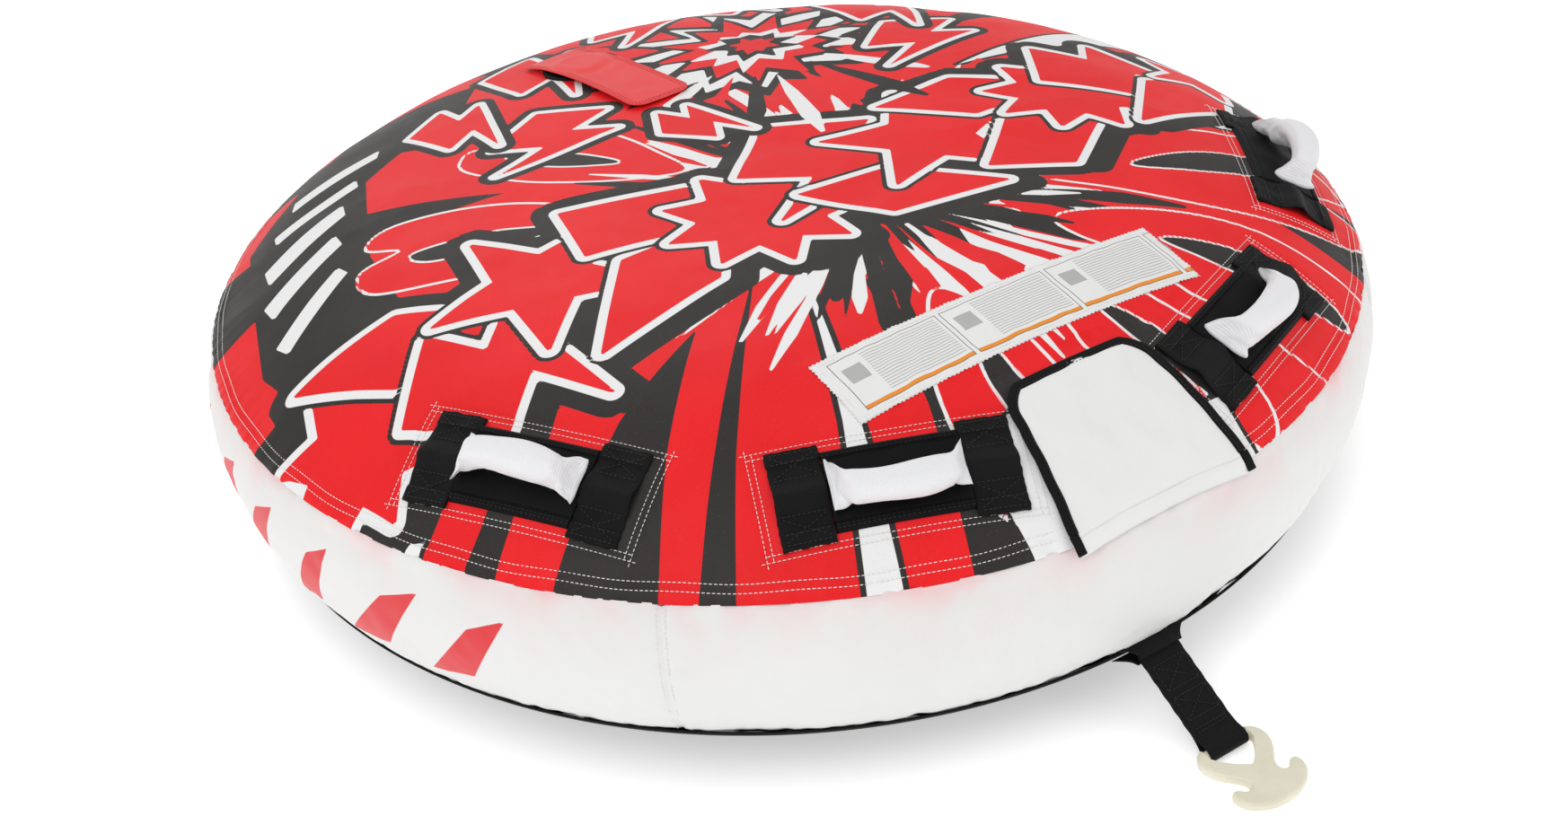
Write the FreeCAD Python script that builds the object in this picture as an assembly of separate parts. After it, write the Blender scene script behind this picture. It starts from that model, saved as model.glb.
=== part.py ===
import FreeCAD, Part
import math
import os

# Towable tube: a round, fully covered deck tube for one rider. Millimetres, +Z up.
# The origin is on the floor under the tube's centre. The tow point is on the -Y side.
# An azimuth is counted from the tow point (-Y) towards +X. A height h is counted along the
# outward normal of the cover's outer face, so h = 0 is that face.

V = FreeCAD.Vector

# ---- inflated body ----
RING_CENTRE_R = 515.0  # from the tube's axis to the centre of the side's round section
RING_TUBE_R = 175.0  # radius of the side's round section; it touches the floor
SEAM_R = 675.0  # where the deck panel is sewn to the side panels
DECK_RISE = 121.0  # crown above that seam
DECK_POWER = 4.9  # how flat the middle of the deck is
BINDING_Z = 70.0  # where the side panels are sewn to the bottom panel

# ---- cover ----
COVER_T = 2.0
LAYER_GAP = 0.2  # between sewn layers
SIDE_SEAMS = [("front", -42.5, 85.0), ("right", 42.5, 95.0), ("back", 137.5, 85.0), ("left", 222.5, 95.0)]
BINDING_HALF_ARC = 1.6
BINDING_T = 2.0
SEAM_TAPE_ARC = 6.0
SEAM_TAPE_T = 1.0
LABEL_SIZE = (432.0, 88.0)
LABEL_R = 438.0
LABEL_T = 0.6

# ---- air chambers ----
CHAMBER_GAP = 4.6  # cover's outer face to the chambers
CHAMBER_T = 1.0
RING_INNER_R = 455.0  # ring chamber's inner side at mid height
RING_EDGE_R = 490.0  # the same at its top and bottom
DECK_CHAMBER_R = 450.0
DECK_CHAMBER_EDGE_R = 430.0

# ---- air valves, in a well of the chamber's skin ----
MAIN_VALVE_R = 600.0  # on the tow side, in the ring chamber
DECK_VALVE_R = 395.0  # in the deck chamber
DECK_VALVE_AZ = -172.5
PORT_R = 42.0
PORT_BINDING_W = 9.0
PORT_BINDING_T = 1.0
WELL_R = 38.0
WELL_DEPTH = 26.0
WELL_T = 2.0
WELL_BRIM = 10.0
WELL_BRIM_T = 1.0
WELL_TOP = -3.2
INSERT_R = 17.0
INSERT_BORE_R = 13.0
INSERT_FLANGE_R = 22.0
INSERT_FLANGE_T = 2.0
NECK_TOP = -9.0
CAP_R = 24.0
CAP_TOP = -5.0
CAP_T = 2.5
CAP_GROOVE_R = 2.0
CAP_GRIPS = 12
COLLAR_T = 1.6
COLLAR_TAB = (10.0, 12.0)
RUNNING_GAP = 0.4
FLAPPER_T = 1.2

# ---- flaps over the valves ----
FLAP_H = 2.6  # underside above the deck
FLAP_T = 1.4
FLAP_BINDING_W = 10.0
FLAP_BINDING_T = 2.6
MAIN_FLAP_HINGE = 664.0  # distance of the fold from the tube's axis
MAIN_FLAP_END = MAIN_VALVE_R - PORT_R - 36.0  # free end, clear of the port on the deck side
MAIN_FLAP_HALF_FOLD = 112.0
MAIN_FLAP_HALF_END = 86.0
MAIN_FLAP_CORNER = 34.0
HEM_CLEARANCE = 1.0
FOLD_CLEARANCE = 3.0  # from the fold to the ends of the binding tape
DECK_FLAP_HINGE = 465.0
DECK_FLAP_END = 212.0
DECK_FLAP_HALF = 45.0
DECK_FLAP_CORNER = 18.0
STRIP_W = 16.0
STRIP_T = 0.9

# ---- handles: one strap each side of a padded guard, with a soft grip between them ----
HANDLE_R = 588.0
STRAP_W = 51.0
STRAP_L = 100.0
STRAP_SPAN = 184.0  # between the two straps' centre lines
FLAP_ROOM = 103.7  # from the tow line to the straps beside the main flap
INNER_AZ = math.degrees(math.asin((FLAP_ROOM + 0.5 * (STRAP_SPAN + STRAP_W)) / HANDLE_R))
OUTER_AZ = 57.3
HANDLES = [("outer_left", -OUTER_AZ, 0.0), ("inner_left", -INNER_AZ, 36.0),
           ("inner_right", INNER_AZ, 28.0), ("outer_right", OUTER_AZ, 28.0)]  # name, azimuth, lean outwards
STRAP_T = 2.6
GUARD_L = 84.0
GUARD_T = 5.0
GUARD_GAP = 1.0
TAIL_R = 3.5  # rolled end of the grip's core, the line the grip swings about
TAIL_GAP = 0.4
TUNNEL_T = 2.5
GRIP_END_GAP = 1.5
GRIP_RISE = 30.0
GRIP_R = 16.5
SLEEVE_T = 1.5
SLEEVE_GAP = 0.2
PATCH_SIZE = (270.0, 122.0)
PATCH_T = 1.2

# ---- tow point ----
TOW_AXIS_PAST_SEAM = 0.87  # degrees on the side's round section
TOW_AXIS_H = 14.0
TOW_ROOT_R = 3.0
TOW_ROOT_GAP = 0.4
TOW_SWING = 55.0  # degrees that the strap lifts from the floor
TOW_TAB_W = 60.0
TOW_TAB_R = 6.6
TOW_TAB_T = 9.0
TOW_STRAP_W = 50.0
TOW_STRAP_T = 5.0
TOW_PATCH_START = 28.0  # degrees on the side's round section
TOW_PATCH_END_GAP = 3.1  # degrees short of the bottom seam
TOW_PATCH_HALF = 9.0  # degrees of azimuth
TOW_PATCH_T = 1.4
BAR_R = 5.0
BAR_GAP = 0.4
BAR_Y = 766.0
BAR_Z = 8.7
LOOP_T = 2.5
CONNECTOR_T = 11.0
CONNECTOR_TILT = 2.0
CONNECTOR_L = 86.0  # from the bar's axis to the tip
EYE_HALF = 28.0
EYE_L = 36.0
CONNECTOR_ROUND = 3.6

# ---- zip in the bottom panel's slope, at the back ----
ZIP_ARC = 33.0
ZIP_SPAN = 120.0
ZIP_TAPE_W = 4.2  # degrees on the round section
ZIP_TAPE_T = 1.0
ZIP_COIL_ARC = 0.75
ZIP_COIL_SPLIT = 0.06
ZIP_COIL_T = 2.0
ZIP_SLIDER_ARC = 1.9
ZIP_SLIDER_SPAN = 2.4
ZIP_SLIDER_T = 1.6
ZIP_EYE_R = 1.1
ZIP_PULL = (7.0, 30.0, 1.6)
GROMMET_ARC = 20.0
GROMMET_AZIMUTHS = (-120.0, -60.0, 60.0, 120.0)
GROMMET_R = 5.0
GROMMET_RIM = 4.0
GROMMET_T = 1.2

Z_AXIS = V(0, 0, 1)
X_AXIS = V(1, 0, 0)


# ---------------------------------------------------------------- the body's outline


def side_arc(z):
    """Angle on the side's round section, from straight down, of the outer point at height z."""
    return math.degrees(math.acos((RING_TUBE_R - z) / RING_TUBE_R))


def side_point(arc, h):
    """Point (radius, height) on the round section, h outside the cover's face."""
    rho = RING_TUBE_R + h
    turn = math.radians(arc)
    return (RING_CENTRE_R + rho * math.sin(turn), RING_TUBE_R - rho * math.cos(turn))


SEAM_Z = RING_TUBE_R + math.sqrt(RING_TUBE_R**2 - (SEAM_R - RING_CENTRE_R) ** 2)
SEAM_ARC = side_arc(SEAM_Z)
BINDING_ARC = side_arc(BINDING_Z)
TOW_AXIS_ARC = BINDING_ARC + TOW_AXIS_PAST_SEAM


def deck_z(r):
    return SEAM_Z + DECK_RISE * (1.0 - (r / SEAM_R) ** DECK_POWER)


def deck_slope(r):
    """Angle in degrees that the deck falls outwards at radius r."""
    return math.degrees(math.atan(DECK_RISE * DECK_POWER / SEAM_R * (r / SEAM_R) ** (DECK_POWER - 1.0)))


def deck_point(r, h):
    """Point (radius, height) at height h over the deck's outer face."""
    turn = math.radians(deck_slope(r))
    return (r + h * math.sin(turn), deck_z(r) + h * math.cos(turn))


def seam_corner_arc(h):
    """Where, on the round section moved by h, the deck's face moved by h meets it."""
    deck_normal = math.radians(90.0 - deck_slope(SEAM_R))
    side_normal = math.radians(SEAM_ARC - 90.0)
    middle = 0.5 * (deck_normal + side_normal)
    reach = h / math.cos(0.5 * (deck_normal - side_normal))
    across = SEAM_R + reach * math.cos(middle) - RING_CENTRE_R
    down = RING_TUBE_R - SEAM_Z - reach * math.sin(middle)
    return math.degrees(math.atan2(across, down))


def seam_corner(h):
    return side_point(seam_corner_arc(h), h)


# ---------------------------------------------------------------- sections and revolved pieces


def at(point):
    """A section's (radius, height) point in the plane of the tow point."""
    return V(0, -point[0], point[1])


def line(a, b):
    return Part.makeLine(at(a), at(b))


def arc_edge(a, middle, b):
    return Part.Arc(at(a), at(middle), at(b)).toShape()


def deck_edge(r1, r2, h, end=None):
    """The deck's outline from radius r1 to r2; end replaces the last point."""
    count = 3 + int((r2 - r1) / 45.0)
    points = [deck_point(r1 + (r2 - r1) * i / count, h) for i in range(count + 1)]
    if end:
        points[-1] = end
    curve = Part.BSplineCurve()
    curve.interpolate([at(p) for p in points])
    return curve.toShape()


def side_edge(arc1, arc2, h):
    middle = 0.5 * (arc1 + arc2)
    return arc_edge(side_point(arc1, h), side_point(middle, h), side_point(arc2, h))


def turned(edges, start=0.0, span=360.0):
    """The closed section turned about the tube's axis, from azimuth start."""
    face = Part.Face(Part.Wire(edges))
    face.rotate(V(0, 0, 0), Z_AXIS, start)
    solid = face.revolve(V(0, 0, 0), Z_AXIS, span)
    return solid


def side_band(arc1, arc2, h1, h2, start=0.0, span=360.0):
    """A layer on the side's round section."""
    edges = [side_edge(arc1, arc2, h1), line(side_point(arc2, h1), side_point(arc2, h2)),
             side_edge(arc2, arc1, h2), line(side_point(arc1, h2), side_point(arc1, h1))]
    return turned(edges, start, span)


def deck_band(r1, r2, h1, h2, half_span):
    """A layer on the deck, over half_span degrees each side of the tow point."""
    edges = [deck_edge(r1, r2, h1), line(deck_point(r2, h1), deck_point(r2, h2)),
             deck_edge(r1, r2, h2), line(deck_point(r1, h2), deck_point(r1, h1))]
    return turned(edges, -half_span, 2.0 * half_span)


def placed_on_deck(shape, r):
    """Moves a shape made about the origin, Z along the normal, to the deck at radius r."""
    moved = shape.copy()
    moved.rotate(V(0, 0, 0), X_AXIS, deck_slope(r))
    moved.translate(at(deck_point(r, 0.0)))
    return moved


def spun(shape, azimuth):
    moved = shape.copy()
    moved.rotate(V(0, 0, 0), Z_AXIS, azimuth)
    return moved


def slab(x1, x2, y1, y2, z1, z2):
    return Part.makeBox(x2 - x1, y2 - y1, z2 - z1, V(x1, y1, z1))


def column(radius, z1, z2):
    return Part.makeCylinder(radius, z2 - z1, V(0, 0, z1), Z_AXIS)


def export(name, shape):
    shape.exportStep(os.path.join("parts", name + ".step"))


# ---------------------------------------------------------------- cover


def port_cutter(r, azimuth):
    return spun(placed_on_deck(column(PORT_R, -20.0, 20.0), r), azimuth)


def deck_panel():
    corner = seam_corner(-COVER_T)
    edges = [deck_edge(0.0, SEAM_R, 0.0), line((SEAM_R, SEAM_Z), corner),
             deck_edge(0.0, SEAM_R, -COVER_T, corner), line(deck_point(0.0, -COVER_T), deck_point(0.0, 0.0))]
    panel = turned(edges)
    panel = panel.cut(port_cutter(MAIN_VALVE_R, 0.0))
    return panel.cut(port_cutter(DECK_VALVE_R, DECK_VALVE_AZ))


def side_panel(start, span):
    inner_arc = seam_corner_arc(-COVER_T)
    edges = [side_edge(BINDING_ARC, SEAM_ARC, 0.0),
             line(side_point(SEAM_ARC, 0.0), side_point(inner_arc, -COVER_T)),
             side_edge(inner_arc, BINDING_ARC, -COVER_T),
             line(side_point(BINDING_ARC, -COVER_T), side_point(BINDING_ARC, 0.0))]
    return turned(edges, start, span)


def grommet_column(radius, h1, h2, azimuth):
    point = side_point(GROMMET_ARC, 0.0)
    shape = column(radius, h1, h2)
    turn = FreeCAD.Rotation(X_AXIS, 180.0 - GROMMET_ARC)
    shape.Placement = FreeCAD.Placement(at(point), turn)
    return spun(shape, azimuth)


def bottom_panel():
    edges = [line((0, 0), (RING_CENTRE_R, 0)), side_edge(0.0, BINDING_ARC, 0.0),
             line(side_point(BINDING_ARC, 0.0), side_point(BINDING_ARC, -COVER_T)),
             side_edge(BINDING_ARC, 0.0, -COVER_T), line((RING_CENTRE_R, COVER_T), (0, COVER_T)),
             line((0, COVER_T), (0, 0))]
    panel = turned(edges)
    for azimuth in GROMMET_AZIMUTHS:
        panel = panel.cut(grommet_column(GROMMET_R, -10.0, 10.0, azimuth))
    return panel


def drain_grommets():
    rings = []
    for azimuth in GROMMET_AZIMUTHS:
        rim = grommet_column(GROMMET_R + GROMMET_RIM, LAYER_GAP, LAYER_GAP + GROMMET_T, azimuth)
        rings.append(rim.cut(grommet_column(GROMMET_R, -10.0, 10.0, azimuth)))
    return Part.makeCompound(rings)


def bottom_binding():
    return side_band(BINDING_ARC - BINDING_HALF_ARC, BINDING_ARC + BINDING_HALF_ARC,
                     LAYER_GAP, LAYER_GAP + BINDING_T)


def seam_tape():
    top = -COVER_T - LAYER_GAP
    return side_band(SEAM_ARC - 1.0 - SEAM_TAPE_ARC, SEAM_ARC - 1.0, top - SEAM_TAPE_T, top)


def sewn_label():
    half_w = 0.5 * LABEL_SIZE[0]
    half_l = 0.5 * LABEL_SIZE[1]
    prism = slab(-half_w, half_w, -LABEL_R - half_l, -LABEL_R + half_l, SEAM_Z, SEAM_Z + 2.0 * DECK_RISE)
    inner = LABEL_R - half_l - 10.0
    outer = math.hypot(LABEL_R + half_l, half_w) + 10.0
    half_span = math.degrees(math.atan2(half_w, LABEL_R - half_l)) + 3.0
    return deck_band(inner, outer, LAYER_GAP, LAYER_GAP + LABEL_T, half_span).common(prism)


# ---------------------------------------------------------------- air chambers


def ring_section(inset, wall):
    """The ring chamber's closed outline, inset from the cover; wall thins its inner side."""
    edge_r = RING_EDGE_R + wall
    top = deck_point(edge_r, -inset)
    middle = (RING_INNER_R + wall, RING_TUBE_R)
    return [deck_edge(edge_r, SEAM_R, -inset, seam_corner(-inset)),
            side_edge(seam_corner_arc(-inset), 0.0, -inset),
            line((RING_CENTRE_R, inset), (edge_r, inset)), arc_edge((edge_r, inset), middle, top)]


def deck_section(inset, wall):
    edge_r = DECK_CHAMBER_EDGE_R - wall
    top = deck_point(edge_r, -inset)
    middle = (DECK_CHAMBER_R - wall, RING_TUBE_R)
    return [deck_edge(0.0, edge_r, -inset), arc_edge(top, middle, (edge_r, inset)),
            line((edge_r, inset), (0, inset)), line((0, inset), deck_point(0.0, -inset))]


def well_hole(r, azimuth):
    return spun(placed_on_deck(column(WELL_R + LAYER_GAP, -WELL_DEPTH, 0.0), r), azimuth)


def chamber(section, valve_r, valve_azimuth):
    skin = turned(section(CHAMBER_GAP, 0.0))
    air = turned(section(CHAMBER_GAP + CHAMBER_T, CHAMBER_T))
    return skin.cut(air).cut(well_hole(valve_r, valve_azimuth))


# ---------------------------------------------------------------- air valves


def deck_disc(r, radius, h1, h2):
    """A layer on the deck inside a round outline."""
    reach = radius + 12.0
    half_span = math.degrees(math.asin(reach / (r - reach)))
    prism = placed_on_deck(column(radius, -60.0, 20.0), r)
    return deck_band(r - reach, r + reach, h1, h2, half_span).common(prism)


def valve_well(r):
    cup = deck_disc(r, WELL_R, -WELL_DEPTH - 20.0, WELL_TOP)
    cup = cup.common(placed_on_deck(column(WELL_R, -WELL_DEPTH, 10.0), r))
    brim = deck_disc(r, WELL_R + WELL_BRIM, WELL_TOP - WELL_BRIM_T, WELL_TOP)
    hollow = placed_on_deck(column(WELL_R - WELL_T, -WELL_DEPTH + WELL_T, 10.0), r)
    seat = placed_on_deck(column(INSERT_R, -WELL_DEPTH - 5.0, 0.0), r)
    return cup.fuse(brim).cut(hollow).cut(seat).removeSplitter()


def valve_insert():
    floor = -WELL_DEPTH + WELL_T
    body = column(INSERT_R - 0.1, -WELL_DEPTH - 4.0, NECK_TOP)
    flange = column(INSERT_FLANGE_R, floor, floor + INSERT_FLANGE_T)
    return body.fuse(flange).cut(column(INSERT_BORE_R, -WELL_DEPTH - 10.0, 0.0)).removeSplitter()


def valve_flapper():
    top = -WELL_DEPTH - 4.0 - LAYER_GAP
    return column(INSERT_BORE_R + 2.0, top - FLAPPER_T, top)


def valve_cap():
    skirt_end = -WELL_DEPTH + WELL_T + INSERT_FLANGE_T + COLLAR_T + 3.0 * LAYER_GAP
    cap = column(CAP_R, skirt_end, CAP_TOP)
    cap = cap.cut(column(INSERT_R + RUNNING_GAP, skirt_end, CAP_TOP - CAP_T))
    for i in range(CAP_GRIPS):
        turn = 2.0 * math.pi * i / CAP_GRIPS
        foot = V(CAP_R * math.cos(turn), CAP_R * math.sin(turn), -30.0)
        cap = cap.cut(Part.makeCylinder(CAP_GROOVE_R, 40.0, foot, Z_AXIS))
    return cap


def valve_collar():
    bottom = -WELL_DEPTH + WELL_T + INSERT_FLANGE_T + LAYER_GAP
    top = bottom + COLLAR_T
    ring = column(CAP_R - 0.5, bottom, top)
    tab = slab(0.0, CAP_R + COLLAR_TAB[0], -0.5 * COLLAR_TAB[1], 0.5 * COLLAR_TAB[1], bottom, top)
    return ring.fuse(tab).cut(column(INSERT_R + RUNNING_GAP, bottom - 1.0, top + 1.0)).removeSplitter()


def port_binding(r):
    tape = deck_disc(r, PORT_R + PORT_BINDING_W, LAYER_GAP, LAYER_GAP + PORT_BINDING_T)
    return tape.cut(placed_on_deck(column(PORT_R, -20.0, 20.0), r))


def build_valve(name, r, azimuth):
    export(name + "_valve_well", spun(valve_well(r), azimuth))
    export(name + "_valve_insert", spun(placed_on_deck(valve_insert(), r), azimuth))
    export(name + "_valve_flapper", spun(placed_on_deck(valve_flapper(), r), azimuth))
    export(name + "_valve_collar", spun(placed_on_deck(valve_collar(), r), azimuth))
    export(name + "_valve_cap", spun(placed_on_deck(valve_cap(), r), azimuth))


# ---------------------------------------------------------------- flaps


def flap_outline(hinge, end, half_hinge, half_end, corner, inset):
    """Plan outline of a flap from its fold to its rounded free end, as a vertical prism."""
    half_end = half_end - inset
    half_hinge = half_hinge - inset
    top = -end - inset
    corner = corner - inset
    side = V(half_hinge - half_end, -hinge - top, 0)
    side.normalize()
    turn = math.atan2(-side.y, side.x)
    run = corner * math.tan(0.5 * (math.pi - turn))
    along = V(half_end, top, 0) + side * run
    middle_turn = 0.5 * turn
    centre = V(half_end - run, top - corner, 0)
    bulge = centre + V(math.sin(middle_turn), math.cos(middle_turn), 0) * corner
    left = [V(-p.x, p.y, 0) for p in (V(half_hinge, -hinge, 0), along, bulge, V(half_end - run, top, 0))]
    edges = [Part.makeLine(V(-half_hinge, -hinge, 0), V(half_hinge, -hinge, 0)),
             Part.makeLine(V(half_hinge, -hinge, 0), along),
             Part.Arc(along, bulge, V(half_end - run, top, 0)).toShape(),
             Part.makeLine(V(half_end - run, top, 0), left[3]),
             Part.Arc(left[3], left[2], left[1]).toShape(),
             Part.makeLine(left[1], left[0])]
    return Part.Face(Part.Wire(edges)).extrude(V(0, 0, 1000.0))


def flap_pieces(hinge, end, half_hinge, half_end, corner):
    """The flap's sheet and the binding tape round its three free sides."""
    half_span = math.degrees(math.atan2(half_hinge, end)) + 4.0
    reach = math.hypot(hinge, half_hinge) + 3.0
    outer = flap_outline(hinge, end, half_hinge, half_end, corner, 0.0)
    inner = flap_outline(hinge, end, half_hinge, half_end, corner, FLAP_BINDING_W)
    sheet = deck_band(end - 8.0, reach, FLAP_H, FLAP_H + FLAP_T, half_span)
    tape_bottom = FLAP_H + 0.5 * (FLAP_T - FLAP_BINDING_T)
    tape = deck_band(end - 8.0, reach, tape_bottom, tape_bottom + FLAP_BINDING_T, half_span)
    past_fold = slab(-reach, reach, -reach, FOLD_CLEARANCE - hinge, 0.0, 1000.0)
    return sheet.common(inner), tape.common(outer).cut(inner).cut(past_fold)


def flap_hem(hinge, half_width):
    """The sewn strip between the deck seam and the main flap's fold."""
    band = deck_band(hinge - 5.0, SEAM_R - 0.5, LAYER_GAP, FLAP_H + FLAP_T, 15.0)
    return band.common(slab(-half_width, half_width, -SEAM_R, -hinge - HEM_CLEARANCE, 0.0, 1000.0))


def strip(y, half_width, h1, h2):
    band = deck_band(y - 25.0, y + 25.0, h1, h2, 18.0)
    return band.common(slab(-half_width, half_width, -y - 0.5 * STRIP_W, -y + 0.5 * STRIP_W, 0.0, 1000.0))


def build_flaps():
    sheet, tape = flap_pieces(MAIN_FLAP_HINGE, MAIN_FLAP_END, MAIN_FLAP_HALF_FOLD, MAIN_FLAP_HALF_END,
                              MAIN_FLAP_CORNER)
    export("valve_flap", sheet)
    export("flap_binding", tape)
    export("flap_hem", flap_hem(MAIN_FLAP_HINGE, MAIN_FLAP_HALF_FOLD))
    main_y = MAIN_FLAP_END + FLAP_BINDING_W + 0.5 * STRIP_W + 2.0
    main_half = MAIN_FLAP_HALF_END - MAIN_FLAP_CORNER
    hook_top = FLAP_H - LAYER_GAP
    hook_bottom = hook_top - STRIP_T
    export("flap_hook_strip", strip(main_y, main_half, hook_bottom, hook_top))

    sheet, tape = flap_pieces(DECK_FLAP_HINGE, DECK_FLAP_END, DECK_FLAP_HALF, DECK_FLAP_HALF,
                              DECK_FLAP_CORNER)
    export("deck_flap", spun(sheet, DECK_VALVE_AZ))
    export("deck_flap_hem", spun(tape, DECK_VALVE_AZ))
    deck_y = DECK_FLAP_END + FLAP_BINDING_W + 0.5 * STRIP_W + 2.0
    deck_half = DECK_FLAP_HALF - FLAP_BINDING_W - 3.0
    export("deck_flap_hook_strip", spun(strip(deck_y, deck_half, hook_bottom, hook_top), DECK_VALVE_AZ))
    loops = [strip(main_y, main_half, LAYER_GAP, LAYER_GAP + STRIP_T),
             spun(strip(deck_y, deck_half, LAYER_GAP, LAYER_GAP + STRIP_T), DECK_VALVE_AZ)]
    export("loop_strips", Part.makeCompound(loops))


# ---------------------------------------------------------------- handles


def deck_pad(x1, x2, half_y, h1, h2):
    """A layer on the deck inside a rectangle of the handle's own plane."""
    reach = half_y + 14.0
    half_span = math.degrees(math.atan2(x2 + 12.0, HANDLE_R - reach))
    prism = placed_on_deck(slab(x1, x2, -half_y, half_y, -60.0, 60.0), HANDLE_R)
    return deck_band(HANDLE_R - reach, SEAM_R - 0.5, h1, h2, half_span).common(prism)


STRAP_INNER = 0.5 * (STRAP_SPAN - STRAP_W)
STRAP_OUTER = 0.5 * (STRAP_SPAN + STRAP_W)
TAIL_H = LAYER_GAP + GUARD_T + LAYER_GAP + TAIL_R  # the grip's swing axis above the deck


def handle_strap():
    """One end strap, on the +X side, with the sewn tunnel that holds the end of the grip's core."""
    flat = deck_pad(STRAP_INNER, STRAP_OUTER, 0.5 * STRAP_L, LAYER_GAP, LAYER_GAP + STRAP_T)
    bore_r = TAIL_R + TAIL_GAP
    tunnel_r = bore_r + TUNNEL_T
    foot = 2.2 * tunnel_r
    roof = Part.makeCylinder(tunnel_r, STRAP_W, V(STRAP_INNER, 0, TAIL_H), X_AXIS)
    outline = [V(STRAP_INNER, -foot, -10.0), V(STRAP_INNER, foot, -10.0), V(STRAP_INNER, foot, 1.0),
               V(STRAP_INNER, tunnel_r * 0.75, TAIL_H + 0.6 * tunnel_r),
               V(STRAP_INNER, -tunnel_r * 0.75, TAIL_H + 0.6 * tunnel_r), V(STRAP_INNER, -foot, 1.0)]
    ramp = Part.Face(Part.makePolygon(outline + outline[:1])).extrude(V(STRAP_W, 0, 0))
    tunnel = placed_on_deck(ramp.fuse(roof), HANDLE_R)
    above = deck_pad(STRAP_INNER - 1.0, STRAP_OUTER + 1.0, 0.5 * STRAP_L, LAYER_GAP, 40.0)
    bore = Part.makeCylinder(bore_r, STRAP_W + 2.0, V(STRAP_INNER - 1.0, 0, TAIL_H), X_AXIS)
    bore = placed_on_deck(bore, HANDLE_R)
    return flat.fuse(tunnel.common(above)).cut(bore).removeSplitter()


def grip_stations(shrink):
    """Centre height above the swing axis and radius of the grip at stations from end to end."""
    half = STRAP_INNER - GRIP_END_GAP
    stations = []
    for u in (-1.0, -0.93, -0.8, -0.55, -0.25, 0.0, 0.25, 0.55, 0.8, 0.93, 1.0):
        rise = GRIP_RISE * (1.0 - u * u) ** 0.8
        radius = TAIL_R + 0.6 + (GRIP_R - TAIL_R - 0.6) * (1.0 - u**4)
        stations.append((half * u, rise, radius - shrink))
    return stations


def grip_body(shrink):
    wires = []
    for x, rise, radius in grip_stations(shrink):
        circle = Part.makeCircle(radius, V(x, 0, TAIL_H + rise), X_AXIS)
        wires.append(Part.Wire([circle]))
    return Part.makeLoft(wires, True, False)


def grip_core():
    body = grip_body(SLEEVE_T + SLEEVE_GAP)
    half = STRAP_INNER - GRIP_END_GAP
    for side in (1.0, -1.0):
        tail = Part.makeCylinder(TAIL_R, STRAP_W, V(side * (half - 4.0), 0, TAIL_H), V(side, 0, 0))
        body = body.fuse(tail)
    return body.removeSplitter()


def grip_sleeve():
    sleeve = grip_body(0.0).cut(grip_body(SLEEVE_T))
    half = STRAP_INNER - GRIP_END_GAP
    mouth = Part.makeCylinder(TAIL_R + SLEEVE_GAP, 2.0 * half + 2.0, V(-half - 1.0, 0, TAIL_H), X_AXIS)
    return sleeve.cut(mouth)


def build_handles():
    strap = handle_strap()
    other = strap.mirror(V(0, 0, 0), X_AXIS)
    guard_half = STRAP_INNER - GUARD_GAP
    guard = deck_pad(-guard_half, guard_half, 0.5 * GUARD_L, LAYER_GAP, LAYER_GAP + GUARD_T)
    core = grip_core()
    sleeve = grip_sleeve()
    patch_top = -COVER_T - LAYER_GAP
    patch = deck_pad(-0.5 * PATCH_SIZE[0], 0.5 * PATCH_SIZE[0], 0.5 * PATCH_SIZE[1],
                     patch_top - PATCH_T, patch_top)
    patches = []
    for name, azimuth, lean in HANDLES:
        export("strap_" + name + "_a", spun(other, azimuth))
        export("strap_" + name + "_b", spun(strap, azimuth))
        export("guard_" + name, spun(guard, azimuth))
        patches.append(spun(patch, azimuth))
        for node, shape in (("core_", core), ("sleeve_", sleeve)):
            leaned = shape.copy()
            leaned.rotate(V(0, 0, TAIL_H), X_AXIS, lean)
            export(node + name, spun(placed_on_deck(leaned, HANDLE_R), azimuth))
    export("handle_backing_patches", Part.makeCompound(patches))


# ---------------------------------------------------------------- tow point


def tow_axis():
    return at(side_point(TOW_AXIS_ARC, TOW_AXIS_H))


def tow_mouth():
    """The space that the strap sweeps in the tab, about its fold line, from rest to fully raised."""
    half_w = 0.5 * TOW_TAB_W + 1.0
    half_t = 0.5 * TOW_STRAP_T + TOW_ROOT_GAP
    reach = 3.0 * TOW_TAB_R
    low = slab(-half_w, half_w, -reach, 0.0, -half_t, half_t)
    high = low.copy()
    low.rotate(V(0, 0, 0), X_AXIS, tow_strap_pitch())
    high.rotate(V(0, 0, 0), X_AXIS, tow_strap_pitch() - TOW_SWING)
    corners = [V(-half_w, 0, 0)]
    for share in (0.0, 0.5, 1.0):
        turn = math.radians(tow_strap_pitch() - share * TOW_SWING)
        corners.append(V(-half_w, -reach * math.cos(turn), -reach * math.sin(turn)))
    wedge = Part.Face(Part.makePolygon(corners + corners[:1])).extrude(V(2.0 * half_w, 0, 0))
    return low.fuse(high).fuse(wedge)


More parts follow.
